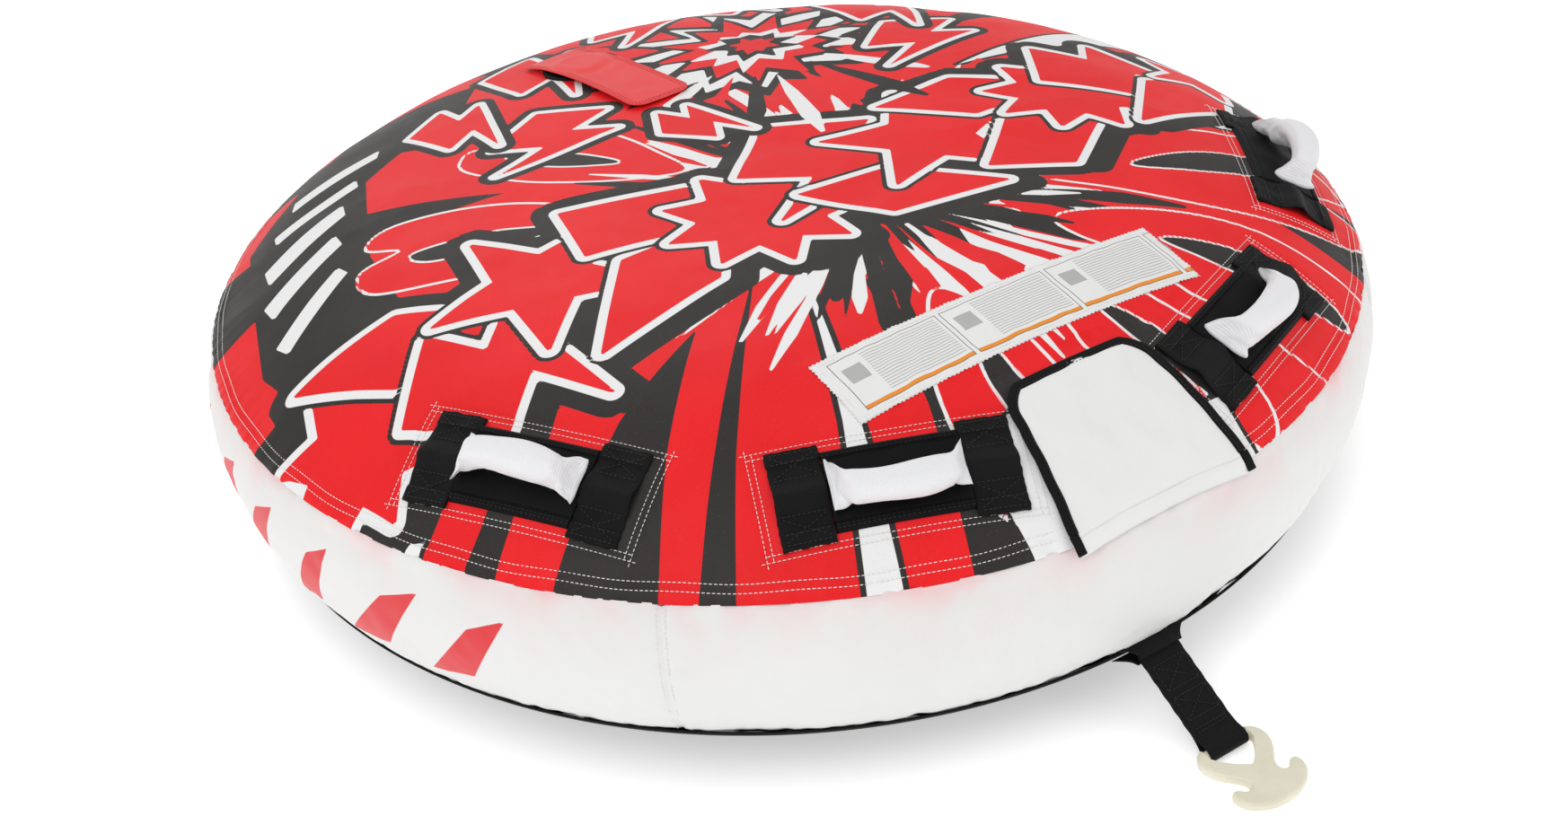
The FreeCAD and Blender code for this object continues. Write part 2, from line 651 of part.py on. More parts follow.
def tow_tab():
    """Folded webbing tab on the bottom seam, a socket for the strap's rolled root."""
    axis = tow_axis()
    half = 0.5 * TOW_TAB_W
    base_h = LAYER_GAP + BINDING_T + LAYER_GAP
    reach = math.degrees(math.asin(half / side_point(BINDING_ARC, 0.0)[0]))
    base = side_band(BINDING_ARC - 3.5, BINDING_ARC + 3.5, base_h, base_h + 3.0, -reach, 2.0 * reach)
    block = slab(-half, half, -0.5 * TOW_TAB_T, 0.5 * TOW_TAB_T, base_h + 1.0, TOW_AXIS_H)
    turn = FreeCAD.Rotation(X_AXIS, 180.0 - TOW_AXIS_ARC)
    block.Placement = FreeCAD.Placement(at(side_point(TOW_AXIS_ARC, 0.0)), turn)
    socket = Part.makeCylinder(TOW_TAB_R, TOW_TAB_W, V(-half, axis.y, axis.z), X_AXIS)
    bore_start = V(-half - 1.0, axis.y, axis.z)
    bore = Part.makeCylinder(TOW_ROOT_R + TOW_ROOT_GAP, TOW_TAB_W + 2.0, bore_start, X_AXIS)
    mouth = tow_mouth()
    mouth.translate(axis)
    return base.fuse(block).fuse(socket).cut(bore).cut(mouth).removeSplitter()


def bar_axis():
    return V(0, -BAR_Y, BAR_Z)


def tow_strap_pitch():
    """Degrees that the strap falls from its fold line to the connector's bar."""
    along = bar_axis() - tow_axis()
    return math.degrees(math.atan2(-along.z, -along.y))


def tow_strap():
    """Doubled webbing from the tab to a loop round the connector's bar."""
    start = tow_axis()
    end = bar_axis()
    half = 0.5 * TOW_STRAP_W
    along = end - start
    length = along.Length
    loop_r = BAR_R + BAR_GAP + LOOP_T
    root = Part.makeCylinder(TOW_ROOT_R, TOW_STRAP_W, V(-half, 0, 0), X_AXIS)
    band = slab(-half, half, -length, 0.0, -0.5 * TOW_STRAP_T, 0.5 * TOW_STRAP_T)
    loop = Part.makeCylinder(loop_r, TOW_STRAP_W, V(-half, -length, 0), X_AXIS)
    hole = Part.makeCylinder(loop_r - LOOP_T, TOW_STRAP_W + 2.0, V(-half - 1.0, -length, 0), X_AXIS)
    strap = root.fuse(band).fuse(loop).cut(hole).removeSplitter()
    strap.Placement = FreeCAD.Placement(start, FreeCAD.Rotation(X_AXIS, tow_strap_pitch()))
    return strap


def smooth(points):
    curve = Part.BSplineCurve()
    curve.interpolate(points)
    return curve.toShape()


def connector_plate():
    """Plan outline of the moulded connector: eye, neck and two swept-back horns."""
    half = [(24, 7), (36, 2), (41.5, -12), (36, -28), (26, -39.5), (20.5, -48), (21.5, -56), (28, -57),
            (34, -51.5), (41, -51.5), (43.5, -59.5), (36, -74), (19.5, -83)]
    points = [V(0, 7, 0)] + [V(x, y, 0) for x, y in half] + [V(0, -CONNECTOR_L, 0)]
    points += [V(-x, y, 0) for x, y in reversed(half)]
    outline = Part.BSplineCurve()
    outline.interpolate(points, PeriodicFlag=True)
    face = Part.Face(Part.Wire([outline.toShape()]))
    face.translate(V(0, 0, -0.5 * CONNECTOR_T))
    plate = face.extrude(V(0, 0, CONNECTOR_T))
    rims = [e for e in plate.Edges if abs(abs(e.CenterOfMass.z) - 0.5 * CONNECTOR_T) < 0.01]
    return plate.makeFillet(CONNECTOR_ROUND, rims)


def connector_eye():
    """The opening for the strap and the almond-shaped space past it."""
    shoulder = 0.25 * EYE_L
    nose = smooth([V(EYE_HALF, -shoulder, 0), V(0.68 * EYE_HALF, -0.58 * EYE_L, 0), V(0, -EYE_L, 0)])
    other = smooth([V(0, -EYE_L, 0), V(-0.68 * EYE_HALF, -0.58 * EYE_L, 0), V(-EYE_HALF, -shoulder, 0)])
    above = 20.0
    edges = [Part.makeLine(V(-EYE_HALF, above, 0), V(EYE_HALF, above, 0)),
             Part.makeLine(V(EYE_HALF, above, 0), V(EYE_HALF, -shoulder, 0)), nose, other,
             Part.makeLine(V(-EYE_HALF, -shoulder, 0), V(-EYE_HALF, above, 0))]
    face = Part.Face(Part.Wire(edges))
    face.translate(V(0, 0, -CONNECTOR_T))
    return face.extrude(V(0, 0, 2.0 * CONNECTOR_T))


def tow_connector():
    plate = connector_plate().cut(connector_eye())
    bar = Part.makeCylinder(BAR_R, 2.0 * EYE_HALF + 8.0, V(-EYE_HALF - 4.0, 0, 0), X_AXIS)
    solid = plate.fuse(bar).removeSplitter()
    solid.rotate(V(0, 0, 0), X_AXIS, CONNECTOR_TILT)
    solid.translate(bar_axis())
    return solid


def tow_patch():
    end = BINDING_ARC - TOW_PATCH_END_GAP
    top = LAYER_GAP + TOW_PATCH_T
    return side_band(TOW_PATCH_START, end, LAYER_GAP, top, -TOW_PATCH_HALF, 2.0 * TOW_PATCH_HALF)


# ---------------------------------------------------------------- zip


def zip_piece(arc1, arc2, h1, h2, start, span):
    return side_band(ZIP_ARC + arc1, ZIP_ARC + arc2, h1, h2, start, span)


def build_zip():
    start = 180.0 - 0.5 * ZIP_SPAN
    tape_top = LAYER_GAP + ZIP_TAPE_T
    coil_bottom = tape_top + LAYER_GAP
    coil_top = coil_bottom + ZIP_COIL_T
    split = ZIP_COIL_SPLIT
    tapes = [zip_piece(-ZIP_TAPE_W, -split, LAYER_GAP, tape_top, start, ZIP_SPAN),
             zip_piece(split, ZIP_TAPE_W, LAYER_GAP, tape_top, start, ZIP_SPAN)]
    coils = [zip_piece(-ZIP_COIL_ARC, -split, coil_bottom, coil_top, start, ZIP_SPAN),
             zip_piece(split, ZIP_COIL_ARC, coil_bottom, coil_top, start, ZIP_SPAN)]
    export("zip_tapes", Part.makeCompound(tapes))
    export("zip_coils", Part.makeCompound(coils))

    slider_bottom = tape_top + RUNNING_GAP
    slider_top = coil_top + RUNNING_GAP + ZIP_SLIDER_T
    groove = ZIP_COIL_ARC + 0.15
    shell = zip_piece(-ZIP_SLIDER_ARC, ZIP_SLIDER_ARC, slider_bottom, slider_top, start, ZIP_SLIDER_SPAN)
    gap = zip_piece(-groove, groove, 0.0, coil_top + RUNNING_GAP, start - 1.0, ZIP_SLIDER_SPAN + 2.0)
    middle = start + 0.5 * ZIP_SLIDER_SPAN
    eye_h = slider_top + 1.6
    eye = slab(-1.5, 1.5, -2.0, 2.0, slider_top - 1.0, slider_top + 4.0)
    eye = eye.cut(Part.makeCylinder(ZIP_EYE_R + 0.3, 8.0, V(-4.0, 0.0, eye_h), X_AXIS))
    export("zip_slider", shell.cut(gap).fuse(on_zip(eye, middle)).removeSplitter())
    export("zip_pull", on_zip(zip_pull(eye_h), middle))


def on_zip(shape, azimuth):
    """Moves a shape made about the origin, Z outwards and Y down the slope, to the zip's line."""
    moved = shape.copy()
    turn = FreeCAD.Rotation(X_AXIS, 180.0 - ZIP_ARC)
    moved.Placement = FreeCAD.Placement(at(side_point(ZIP_ARC, 0.0)), turn)
    return spun(moved, azimuth)


def zip_pull(eye_h):
    width, length, thick = ZIP_PULL
    blade = slab(-0.5 * width, 0.5 * width, -3.8 - length, -3.8, eye_h - 0.5 * thick, eye_h + 0.5 * thick)
    pin = Part.makeCylinder(ZIP_EYE_R, width, V(-0.5 * width, 0, eye_h), X_AXIS)
    pull = blade.fuse(pin)
    for side in (-1.0, 1.0):
        x1 = min(side * 0.5 * width, side * 2.1)
        x2 = max(side * 0.5 * width, side * 2.1)
        pull = pull.fuse(slab(x1, x2, -4.5, ZIP_EYE_R, eye_h - 0.5 * thick, eye_h + 0.5 * thick))
    return pull.removeSplitter()


# ---------------------------------------------------------------- build


def build_cover():
    export("deck_panel", deck_panel())
    for name, start, span in SIDE_SEAMS:
        export("side_panel_" + name, side_panel(start, span))
    export("bottom_panel", bottom_panel())
    export("bottom_binding", bottom_binding())
    export("seam_tape", seam_tape())
    export("label", sewn_label())
    export("drain_grommets", drain_grommets())
    bindings = [port_binding(MAIN_VALVE_R), spun(port_binding(DECK_VALVE_R), DECK_VALVE_AZ)]
    export("port_bindings", Part.makeCompound(bindings))


def build_chambers():
    export("ring_chamber", chamber(ring_section, MAIN_VALVE_R, 0.0))
    export("deck_chamber", chamber(deck_section, DECK_VALVE_R, DECK_VALVE_AZ))
    build_valve("main", MAIN_VALVE_R, 0.0)
    build_valve("deck", DECK_VALVE_R, DECK_VALVE_AZ)


def build_tow_point():
    export("tow_tab", tow_tab())
    export("tow_strap", tow_strap())
    export("tow_connector", tow_connector())
    export("tow_patch", tow_patch())


os.makedirs("parts", exist_ok=True)
build_cover()
build_chambers()
build_flaps()
build_handles()
build_tow_point()
build_zip()
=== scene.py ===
import math

import bmesh
import bpy
import numpy as np
from mathutils import Matrix, Vector


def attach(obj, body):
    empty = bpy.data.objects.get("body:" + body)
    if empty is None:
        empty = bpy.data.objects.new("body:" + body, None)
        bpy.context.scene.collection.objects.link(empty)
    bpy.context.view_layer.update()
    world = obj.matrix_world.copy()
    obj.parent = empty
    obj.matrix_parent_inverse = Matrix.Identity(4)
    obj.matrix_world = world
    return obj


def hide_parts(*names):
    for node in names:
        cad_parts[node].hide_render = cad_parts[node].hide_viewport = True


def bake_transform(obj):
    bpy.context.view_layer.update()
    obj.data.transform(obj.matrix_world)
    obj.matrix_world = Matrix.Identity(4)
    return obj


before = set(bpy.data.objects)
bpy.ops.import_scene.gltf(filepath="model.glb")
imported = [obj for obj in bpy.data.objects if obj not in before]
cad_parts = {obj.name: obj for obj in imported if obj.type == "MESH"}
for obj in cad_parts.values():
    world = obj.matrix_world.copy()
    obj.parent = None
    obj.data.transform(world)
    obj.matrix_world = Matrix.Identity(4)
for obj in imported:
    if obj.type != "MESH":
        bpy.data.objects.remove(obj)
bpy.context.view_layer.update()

# Metres. An azimuth is counted from the tow point (-Y) towards +X.

# ---- the cover's outline, as in the CAD source ----
RING_CENTRE_R = 0.515
RING_TUBE_R = 0.175
SEAM_R = 0.675
DECK_RISE = 0.121
DECK_POWER = 4.9
BINDING_Z = 0.070
SEAM_Z = RING_TUBE_R + math.sqrt(RING_TUBE_R**2 - (SEAM_R - RING_CENTRE_R) ** 2)
SEAM_ARC = math.acos((RING_TUBE_R - SEAM_Z) / RING_TUBE_R)
BINDING_ARC = math.acos((RING_TUBE_R - BINDING_Z) / RING_TUBE_R)

# ---- handles, flaps, valves and tow point, as in the CAD source ----
HANDLE_R = 0.588
HANDLES = [("outer_left", -57.3, 0.0), ("inner_left", -22.1, 36.0),
           ("inner_right", 22.1, 28.0), ("outer_right", 57.3, 28.0)]
STRAP_INNER, STRAP_OUTER, STRAP_HALF = 0.0665, 0.1175, 0.050
TAIL_H = 0.0089
MAIN_VALVE_R, DECK_VALVE_R, DECK_VALVE_AZ = 0.600, 0.395, -172.5
TOW_AXIS = Vector((0.0, -0.6679, 0.0639))
BAR_AXIS = Vector((0.0, -0.766, 0.0087))

MAIN_FOLD, DECK_FOLD = (0.664, 0.0), (0.465, DECK_VALVE_AZ)  # radius and azimuth of each flap's fold
MAIN_FLAP = dict(length=0.142, half_fold=0.112, half_end=0.086, corner=0.034)
DECK_FLAP = dict(length=0.253, half_fold=0.045, half_end=0.045, corner=0.018)
FLAP_H = 0.0026
HOOK_IN = 0.020
LABEL_R, LABEL_HALF_W, LABEL_HALF_L = 0.438, 0.216, 0.044
PORT_TAPE_R, PORT_THREAD_R, BLADDER_HOLE_R = 0.0465, 0.0485, 0.041
SIDE_R = 0.69  # the radius at which the side is unrolled
PER_DEGREE = 0.0118
FAR = 0.05  # a print field's value well away from every shape

RED = (0.84, 0.009, 0.013)
CHARCOAL = (0.025, 0.022, 0.020)
WHITE = (0.83, 0.83, 0.83)
BLACK = (0.0035, 0.0035, 0.0038)


# ---------------------------------------------------------------- outline and placing


def deck_z(r):
    return SEAM_Z + DECK_RISE * (1.0 - (r / SEAM_R) ** DECK_POWER)


def deck_slope(r):
    return np.arctan(DECK_RISE * DECK_POWER / SEAM_R * (r / SEAM_R) ** (DECK_POWER - 1.0))


def side_xz(arc, h):
    rho = RING_TUBE_R + h
    return RING_CENTRE_R + rho * np.sin(arc), RING_TUBE_R - rho * np.cos(arc)


def side_away(arc, azimuth):
    """Directions away from the side's face. azimuth is in radians."""
    return np.stack([np.sin(arc) * np.sin(azimuth), -np.sin(arc) * np.cos(azimuth),
                     0.0 * azimuth - np.cos(arc)], -1)


def deck_away(r, azimuth):
    """Directions away from the deck's face. azimuth is in radians."""
    slope = deck_slope(r)
    return np.stack([np.sin(azimuth) * np.sin(slope), -np.cos(azimuth) * np.sin(slope), np.cos(slope)], -1)


def side_row(arc, azimuth, h):
    """A row of stitches on the side or the bottom, h over it."""
    r, z = side_xz(arc, h)
    return turned(r, z, azimuth), side_away(arc, azimuth)


def turned(r, z, azimuth):
    """Points at radius r, height z and azimuth in radians."""
    return np.stack([r * np.sin(azimuth), -r * np.cos(azimuth), z + 0.0 * r], axis=-1)


class Plane:
    """A local frame on the deck: X along the rim, Y inwards, and a lifting direction."""

    def __init__(self, radius, azimuth, vertical):
        turn = math.radians(azimuth)
        slope = 0.0 if vertical else float(deck_slope(radius))
        inwards = np.array([-math.sin(turn), math.cos(turn), 0.0])
        up = np.array([0.0, 0.0, 1.0])
        self.origin = np.array([radius * math.sin(turn), -radius * math.cos(turn), float(deck_z(radius))])
        self.x = np.array([math.cos(turn), math.sin(turn), 0.0])
        self.y = inwards * math.cos(slope) + up * math.sin(slope)
        self.z = up * math.cos(slope) - inwards * math.sin(slope)

    def flat(self, x, y, h):
        """Points in the local frame itself."""
        return (self.origin + np.multiply.outer(x, self.x) + np.multiply.outer(y, self.y)
                + np.multiply.outer(h, self.z))

    def away(self, count):
        return np.repeat(self.z[None], count, 0)

    def lift(self, x, y, h):
        """Points above (x, y) at height h over the deck's face, which they follow."""
        x, y, h = np.broadcast_arrays(np.asarray(x, float), np.asarray(y, float), np.asarray(h, float))
        rise = h.copy()
        for _ in range(6):
            p = self.flat(x, y, rise)
            r = np.hypot(p[..., 0], p[..., 1])
            over = (p[..., 2] - deck_z(np.minimum(r, 0.72))) * np.cos(deck_slope(np.minimum(r, 0.72)))
            rise = rise - (over - h)
        return self.flat(x, y, rise)


def waves(points, size, seed, count=14):
    """Smooth repeatable noise of about -1 to 1 whose features are size across."""
    rng = np.random.RandomState(seed)
    total = np.zeros(points.shape[:-1])
    for _ in range(count):
        direction = rng.normal(size=3)
        direction *= (2 * math.pi / size) * rng.uniform(0.6, 1.4) / np.linalg.norm(direction)
        total += np.cos(points @ direction + rng.uniform(0, 2 * math.pi))
    return total / math.sqrt(0.5 * count) / 1.6


def flat_grid(x, y):
    """Points (x, y, 0), for the noise."""
    return np.stack([x, y, 0 * x], -1)


def circle(count):
    return np.linspace(0, 2 * math.pi, count, endpoint=False)


def unit(v):
    return v / np.linalg.norm(v, axis=-1, keepdims=True)


def run_along(line):
    """Distance along a line of points, at each point."""
    return np.concatenate([[0], np.cumsum(np.linalg.norm(np.diff(line, axis=0), axis=1))])


def smoothstep(a, b, x):
    t = np.clip((x - a) / (b - a), 0.0, 1.0)
    return t * t * (3.0 - 2.0 * t)


# ---------------------------------------------------------------- meshes


def new_object(name, points, faces, uv=None):
    mesh = bpy.data.meshes.new(name)
    mesh.from_pydata([tuple(p) for p in np.asarray(points, float).reshape(-1, 3)], [], faces)
    if uv is not None:
        layer = mesh.uv_layers.new(name="UVMap")
        flat = np.asarray(uv, float).reshape(-1, 2)
        loops = np.zeros(len(mesh.loops), np.int32)
        mesh.loops.foreach_get("vertex_index", loops)
        layer.data.foreach_set("uv", flat[loops].astype(np.float32).ravel())
    mesh.polygons.foreach_set("use_smooth", [True] * len(mesh.polygons))
    mesh.update()
    obj = bpy.data.objects.new(name, mesh)
    bpy.context.scene.collection.objects.link(obj)
    return obj


def grid_faces(rows, cols, around=False, keep=None):
    """Quads of a rows x cols grid of points; around joins its last column to its first."""
    faces = []
    last = cols if around else cols - 1
    for i in range(rows - 1):
        for j in range(last):
            if keep is not None and not keep[i, j]:
                continue
            k = (j + 1) % cols
            faces.append((i * cols + j, i * cols + k, (i + 1) * cols + k, (i + 1) * cols + j))
    return faces


def value(obj, name, numbers):
    """A smooth number on each point, for the material."""
    layer = obj.data.attributes.new(name, "FLOAT", "POINT")
    layer.data.foreach_set("value", np.asarray(numbers, np.float32).ravel())


def solidify(obj, thickness, offset=-1.0):
    m = obj.modifiers.new("thickness", "SOLIDIFY")
    m.thickness = thickness
    m.offset = offset
    m.use_even_offset = False
    return apply(obj)


def apply(obj):
    """Makes the object's modifiers part of its mesh."""
    dg = bpy.context.evaluated_depsgraph_get()
    mesh = bpy.data.meshes.new_from_object(obj.evaluated_get(dg))
    obj.modifiers.clear()
    old = obj.data
    obj.data = mesh
    bpy.data.meshes.remove(old)
    mesh.name = obj.name
    return obj


def closed_layer(name, upper, lower, x, y):
    """A closed piece between two grids of points, with flat coordinates x and y."""
    rows, cols = x.shape
    n = rows * cols
    faces = grid_faces(rows, cols)
    faces += [tuple(n + k for k in reversed(f)) for f in faces]
    ring = (list(range(cols)) + [i * cols + cols - 1 for i in range(1, rows)]
            + [(rows - 1) * cols + j for j in range(cols - 2, -1, -1)] + [i * cols for i in range(rows - 2,
                                                                                                  0, -1)])
    faces += [(b, a, n + a, n + b) for a, b in zip(ring, ring[1:] + ring[:1])]
    uv = np.stack([x, y], -1).reshape(-1, 2)
    points = np.concatenate([upper.reshape(-1, 3), lower.reshape(-1, 3)])
    return fix_normals(new_object(name, points, faces, np.concatenate([uv, uv])))


def slab(name, plane, xs, ys, low, high, edge):
    """A closed layer over the points xs x ys, between heights low and high, with softened edges."""
    x, y = np.meshgrid(xs, ys)
    rim = np.zeros_like(x, bool)
    rim[0, :] = rim[-1, :] = rim[:, 0] = rim[:, -1] = True
    upper = plane.lift(x, y, np.where(rim, high - edge, high))
    return closed_layer(name, upper, plane.lift(x, y, np.where(rim, low + edge, low)), x, y)


def tube(name, path, across, up, width, height, power=0.5, sides=14, closed=False):
    """A soft-edged band swept along path. across and up are unit directions at each point."""
    path = np.asarray(path, float)
    turn = circle(sides)
    c = np.sign(np.cos(turn)) * np.abs(np.cos(turn)) ** power
    s = np.sign(np.sin(turn)) * np.abs(np.sin(turn)) ** power
    width = np.broadcast_to(width, len(path))
    height = np.broadcast_to(height, len(path))
    points = (path[:, None] + across[:, None] * (0.5 * width[:, None] * c)[..., None]
              + up[:, None] * (0.5 * height[:, None] * s)[..., None])
    run = run_along(path)
    uv = np.stack(np.broadcast_arrays((0.5 * width[:, None] * c), run[:, None]), -1)
    faces = grid_faces(len(path), sides, around=True)
    n = len(path)
    if closed:
        faces += [((n - 1) * sides + j, (n - 1) * sides + (j + 1) % sides, (j + 1) % sides, j)
                  for j in range(sides)]
    else:
        faces.append(tuple(reversed(range(sides))))
        faces.append(tuple((n - 1) * sides + j for j in range(sides)))
    return fix_normals(new_object(name, points, faces, uv))


def fix_normals(obj):
    bm = bmesh.new()
    bm.from_mesh(obj.data)
    bmesh.ops.recalc_face_normals(bm, faces=bm.faces)
    bm.to_mesh(obj.data)
    bm.free()
    return obj


def stitches(name, rows, step=0.0056, length=0.0040, width=0.00085):
    """Thread along rows, each a list of points and the directions away from the cloth."""
    points, faces = [], []
    for line, away in rows:
        line, away = np.asarray(line, float), np.asarray(away, float)
        run = run_along(line)
        count = max(1, int(run[-1] / step))
        for k in range(count):
            centre_at = (k + 0.5) * run[-1] / count
            ends = [np.array([np.interp(centre_at + d, run, line[:, a]) for a in range(3)])
                    for d in (-0.5 * length, 0.5 * length)]
            up = np.array([np.interp(centre_at, run, away[:, a]) for a in range(3)])
            up /= np.linalg.norm(up)
            along = ends[1] - ends[0]
            size = np.linalg.norm(along)
            if size < 0.3 * length:
                continue
            along /= size
            side = np.cross(up, along)
            first = len(points)
            for t, w, h in ((0.0, 0.25, -0.2), (0.2, 1.0, 0.55), (0.8, 1.0, 0.55), (1.0, 0.25, -0.2)):
                base = ends[0] * (1 - t) + ends[1] * t + up * (h * 0.5 * width)
                for q in range(6):
                    a = math.pi * q / 3.0
                    points.append(base + 0.5 * width * w * (side * math.cos(a) + up * math.sin(a)))
            for i in range(3):
                for q in range(6):
                    a, b = first + i * 6 + q, first + i * 6 + (q + 1) % 6
                    faces.append((a, b, b + 6, a + 6))
            faces.append(tuple(first + q for q in reversed(range(6))))
            faces.append(tuple(first + 18 + q for q in range(6)))
    return new_object(name, points, faces)


def on_plane(plane, corners, h, spacing=0.008):
    """A row of stitches through the corners (x, y), h over the deck."""
    line, away = [], []
    for (x1, y1), (x2, y2) in zip(corners, corners[1:]):
        count = max(2, int(math.hypot(x2 - x1, y2 - y1) / spacing))
        t = np.linspace(0, 1, count)
        line.append(plane.lift(x1 + (x2 - x1) * t, y1 + (y2 - y1) * t, h + 0 * t))
        away.append(plane.away(count))
    return np.concatenate(line), np.concatenate(away)


# ---------------------------------------------------------------- materials


def maths(kind):
    return lambda self, a, b=0.0: self.math(kind, a, b)


class Nodes:
    """A short way to write a material's nodes."""

    def __init__(self, name):
        self.material = bpy.data.materials.new(name)
        self.material.use_nodes = True
        self.tree = self.material.node_tree
        self.tree.nodes.clear()
        self.shader = self.tree.nodes.new("ShaderNodeBsdfPrincipled")
        output = self.tree.nodes.new("ShaderNodeOutputMaterial")
        self.tree.links.new(self.shader.outputs[0], output.inputs[0])

    def put(self, socket, item):
        if isinstance(item, bpy.types.NodeSocket):
            self.tree.links.new(item, socket)
        elif isinstance(item, (tuple, list)) and socket.type == "RGBA" and len(item) == 3:
            socket.default_value = (*item, 1.0)
        else:
            socket.default_value = item

    def math(self, kind, a, b=0.0):
        node = self.tree.nodes.new("ShaderNodeMath")
        node.operation = kind
        self.put(node.inputs[0], a)
        self.put(node.inputs[1], b)
        return node.outputs[0]

    add, sub, mul, larger = maths("ADD"), maths("SUBTRACT"), maths("MULTIPLY"), maths("MAXIMUM")
    modulo, above, absolute, sine = maths("MODULO"), maths("GREATER_THAN"), maths("ABSOLUTE"), maths("SINE")

    def mix(self, share, a, b):
        node = self.tree.nodes.new("ShaderNodeMix")
        node.data_type = "RGBA"
        self.put(node.inputs[0], share)
        self.put(node.inputs[6], a)
        self.put(node.inputs[7], b)
        return node.outputs[2]

    def noise(self, scale, detail=2.0):
        node = self.tree.nodes.new("ShaderNodeTexNoise")
        node.inputs["Scale"].default_value = scale
        node.inputs["Detail"].default_value = detail
        self.put(node.inputs["Vector"], self.tree.nodes.new("ShaderNodeTexCoord").outputs["Object"])
        return node.outputs[0]

    def uv(self):
        node = self.tree.nodes.new("ShaderNodeSeparateXYZ")
        self.put(node.inputs[0], self.tree.nodes.new("ShaderNodeTexCoord").outputs["UV"])
        return node.outputs[0], node.outputs[1]

    def attribute(self, name):
        node = self.tree.nodes.new("ShaderNodeAttribute")
        node.attribute_name = name
        return node.outputs["Fac"]

    def ramp(self, x, low, high):
        """0 below low, 1 above high."""
        node = self.tree.nodes.new("ShaderNodeMapRange")
        self.put(node.inputs[0], x)
        node.inputs[1].default_value = low
        node.inputs[2].default_value = high
        return node.outputs[0]

    def ridge(self, x, pitch):
        """A rounded ridge of 0 to 1 every pitch along x."""
        turns = self.mul(x, 2 * math.pi / pitch)
        return self.add(self.mul(self.sine(turns), 0.5), 0.5)

    def bump(self, height, distance, strength=1.0):
        node = self.tree.nodes.new("ShaderNodeBump")
        node.inputs["Distance"].default_value = distance
        node.inputs["Strength"].default_value = strength
        self.put(node.inputs["Height"], height)
        self.put(self.shader.inputs["Normal"], node.outputs[0])

    def set(self, **values):
        for key, item in values.items():
            self.put(self.shader.inputs[key.replace("_", " ")], item)
        return self.material


def weave(n, pitch):
    """Plain weave from the piece's own flat coordinates."""
    u, v = n.uv()
    return n.mul(n.ridge(u, pitch), n.ridge(v, pitch))


def print_material():
    n = Nodes("deck_print")
    dark = n.ramp(n.attribute("print_dark"), 0.0003, -0.0003)
    white = n.ramp(n.attribute("print_white"), 0.0003, -0.0003)
    cloudy = n.ramp(n.noise(9.0, 3.0), 0.35, 0.7)
    red = n.mix(cloudy, RED, (0.78, 0.007, 0.010))
    colour = n.mix(dark, red, CHARCOAL)
    colour = n.mix(white, colour, WHITE)
    fade = n.mul(n.ramp(n.noise(420.0, 2.0), 0.62, 0.8), 0.05)
    colour = n.mix(fade, colour, (0.55, 0.42, 0.42))
    height = n.add(weave(n, 0.0016), n.mul(n.noise(55.0, 3.0), 1.6))
    n.bump(height, 0.00016, 0.55)
    rough = n.add(n.mul(n.noise(30.0, 3.0), 0.16), 0.44)
    return n.set(Base_Color=colour, Roughness=rough, Specular_IOR_Level=0.22, Sheen_Weight=0.02)


def nylon_material(name, colour, printed=False, rough=0.5, pitch=0.0014):
    """Plain nylon, or the side panels' printed one with red that has bled down from the deck seam."""
    n = Nodes(name)
    tone = n.ramp(n.noise(7.0, 4.0), 0.3, 0.75)
    shade = n.mix(n.mul(tone, 0.5), colour, tuple(0.93 * c for c in colour))
    if printed:
        patchy = n.mul(n.attribute("bleed"), n.ramp(n.noise(16.0, 2.0), 0.35, 0.7))
        shade = n.mix(n.mul(patchy, 0.75), shade, (0.93, 0.26, 0.30))
        shade = n.mix(n.ramp(n.attribute("print_red"), 0.0004, -0.0004), shade, (0.70, 0.022, 0.030))
    height = n.add(weave(n, pitch), n.mul(n.noise(70.0, 4.0), 1.8))
    n.bump(height, 0.00014, 0.6)
    return n.set(Base_Color=shade, Roughness=n.add(n.mul(n.noise(26.0, 3.0), 0.18), rough - 0.09),
                 Specular_IOR_Level=0.38, Sheen_Weight=0.08)


def webbing_material(name, colour, rib=0.0027, along=0.0017, rough=0.62, depth=0.0009):
    """Ribs across the strap, broken by the warp threads. The colour carries painted highlight and shade on the
    ribs.
    """
    n = Nodes(name)
    u, v = n.uv()
    warp = n.ridge(u, along)
    shift = n.mul(n.above(warp, 0.5), 0.5 * rib)
    ribs = n.ridge(n.add(v, shift), rib)
    height = n.add(n.mul(ribs, 0.75), n.mul(warp, 0.35))
    fuzz = n.noise(900.0, 2.0)
    height = n.add(height, n.mul(fuzz, 0.35))
    n.bump(height, depth, 0.8)
    lint = n.mul(n.ramp(n.noise(500.0, 3.0), 0.60, 0.78), 0.10)
    # painted highlight and shade: rib crests are painted lighter and rib hollows darker; the light flecks mixed
    # over them are lint
    lint_and_rib_shade = n.mix(lint, n.mix(ribs, tuple(0.4 * c for c in colour), tuple(2.6 * c for c in colour)),
                 tuple(4.0 * c + 0.01 for c in colour))
    return n.set(Base_Color=lint_and_rib_shade, Roughness=rough, Specular_IOR_Level=0.13, Sheen_Weight=0.015,
                 Sheen_Roughness=0.5)


def knit_material(name, colour):
    """Fine ribs running round the grip."""
    n = Nodes(name)
    u, v = n.uv()
    ribs = n.ridge(v, 0.0016)
    loops = n.ridge(n.add(u, n.mul(ribs, 0.0005)), 0.0012)
    height = n.add(n.mul(ribs, 0.8), n.mul(loops, 0.25))
    n.bump(n.add(height, n.mul(n.noise(140.0, 3.0), 0.9)), 0.00035, 0.75)
    # painted shade: the hollows between the knit's ribs are painted darker than their crests
    tone = n.mix(n.mul(ribs, 0.6), tuple(0.90 * c for c in colour), colour)
    return n.set(Base_Color=tone, Roughness=0.88, Specular_IOR_Level=0.2, Sheen_Weight=0.25,
                 Subsurface_Weight=0.05, Subsurface_Scale=0.003)


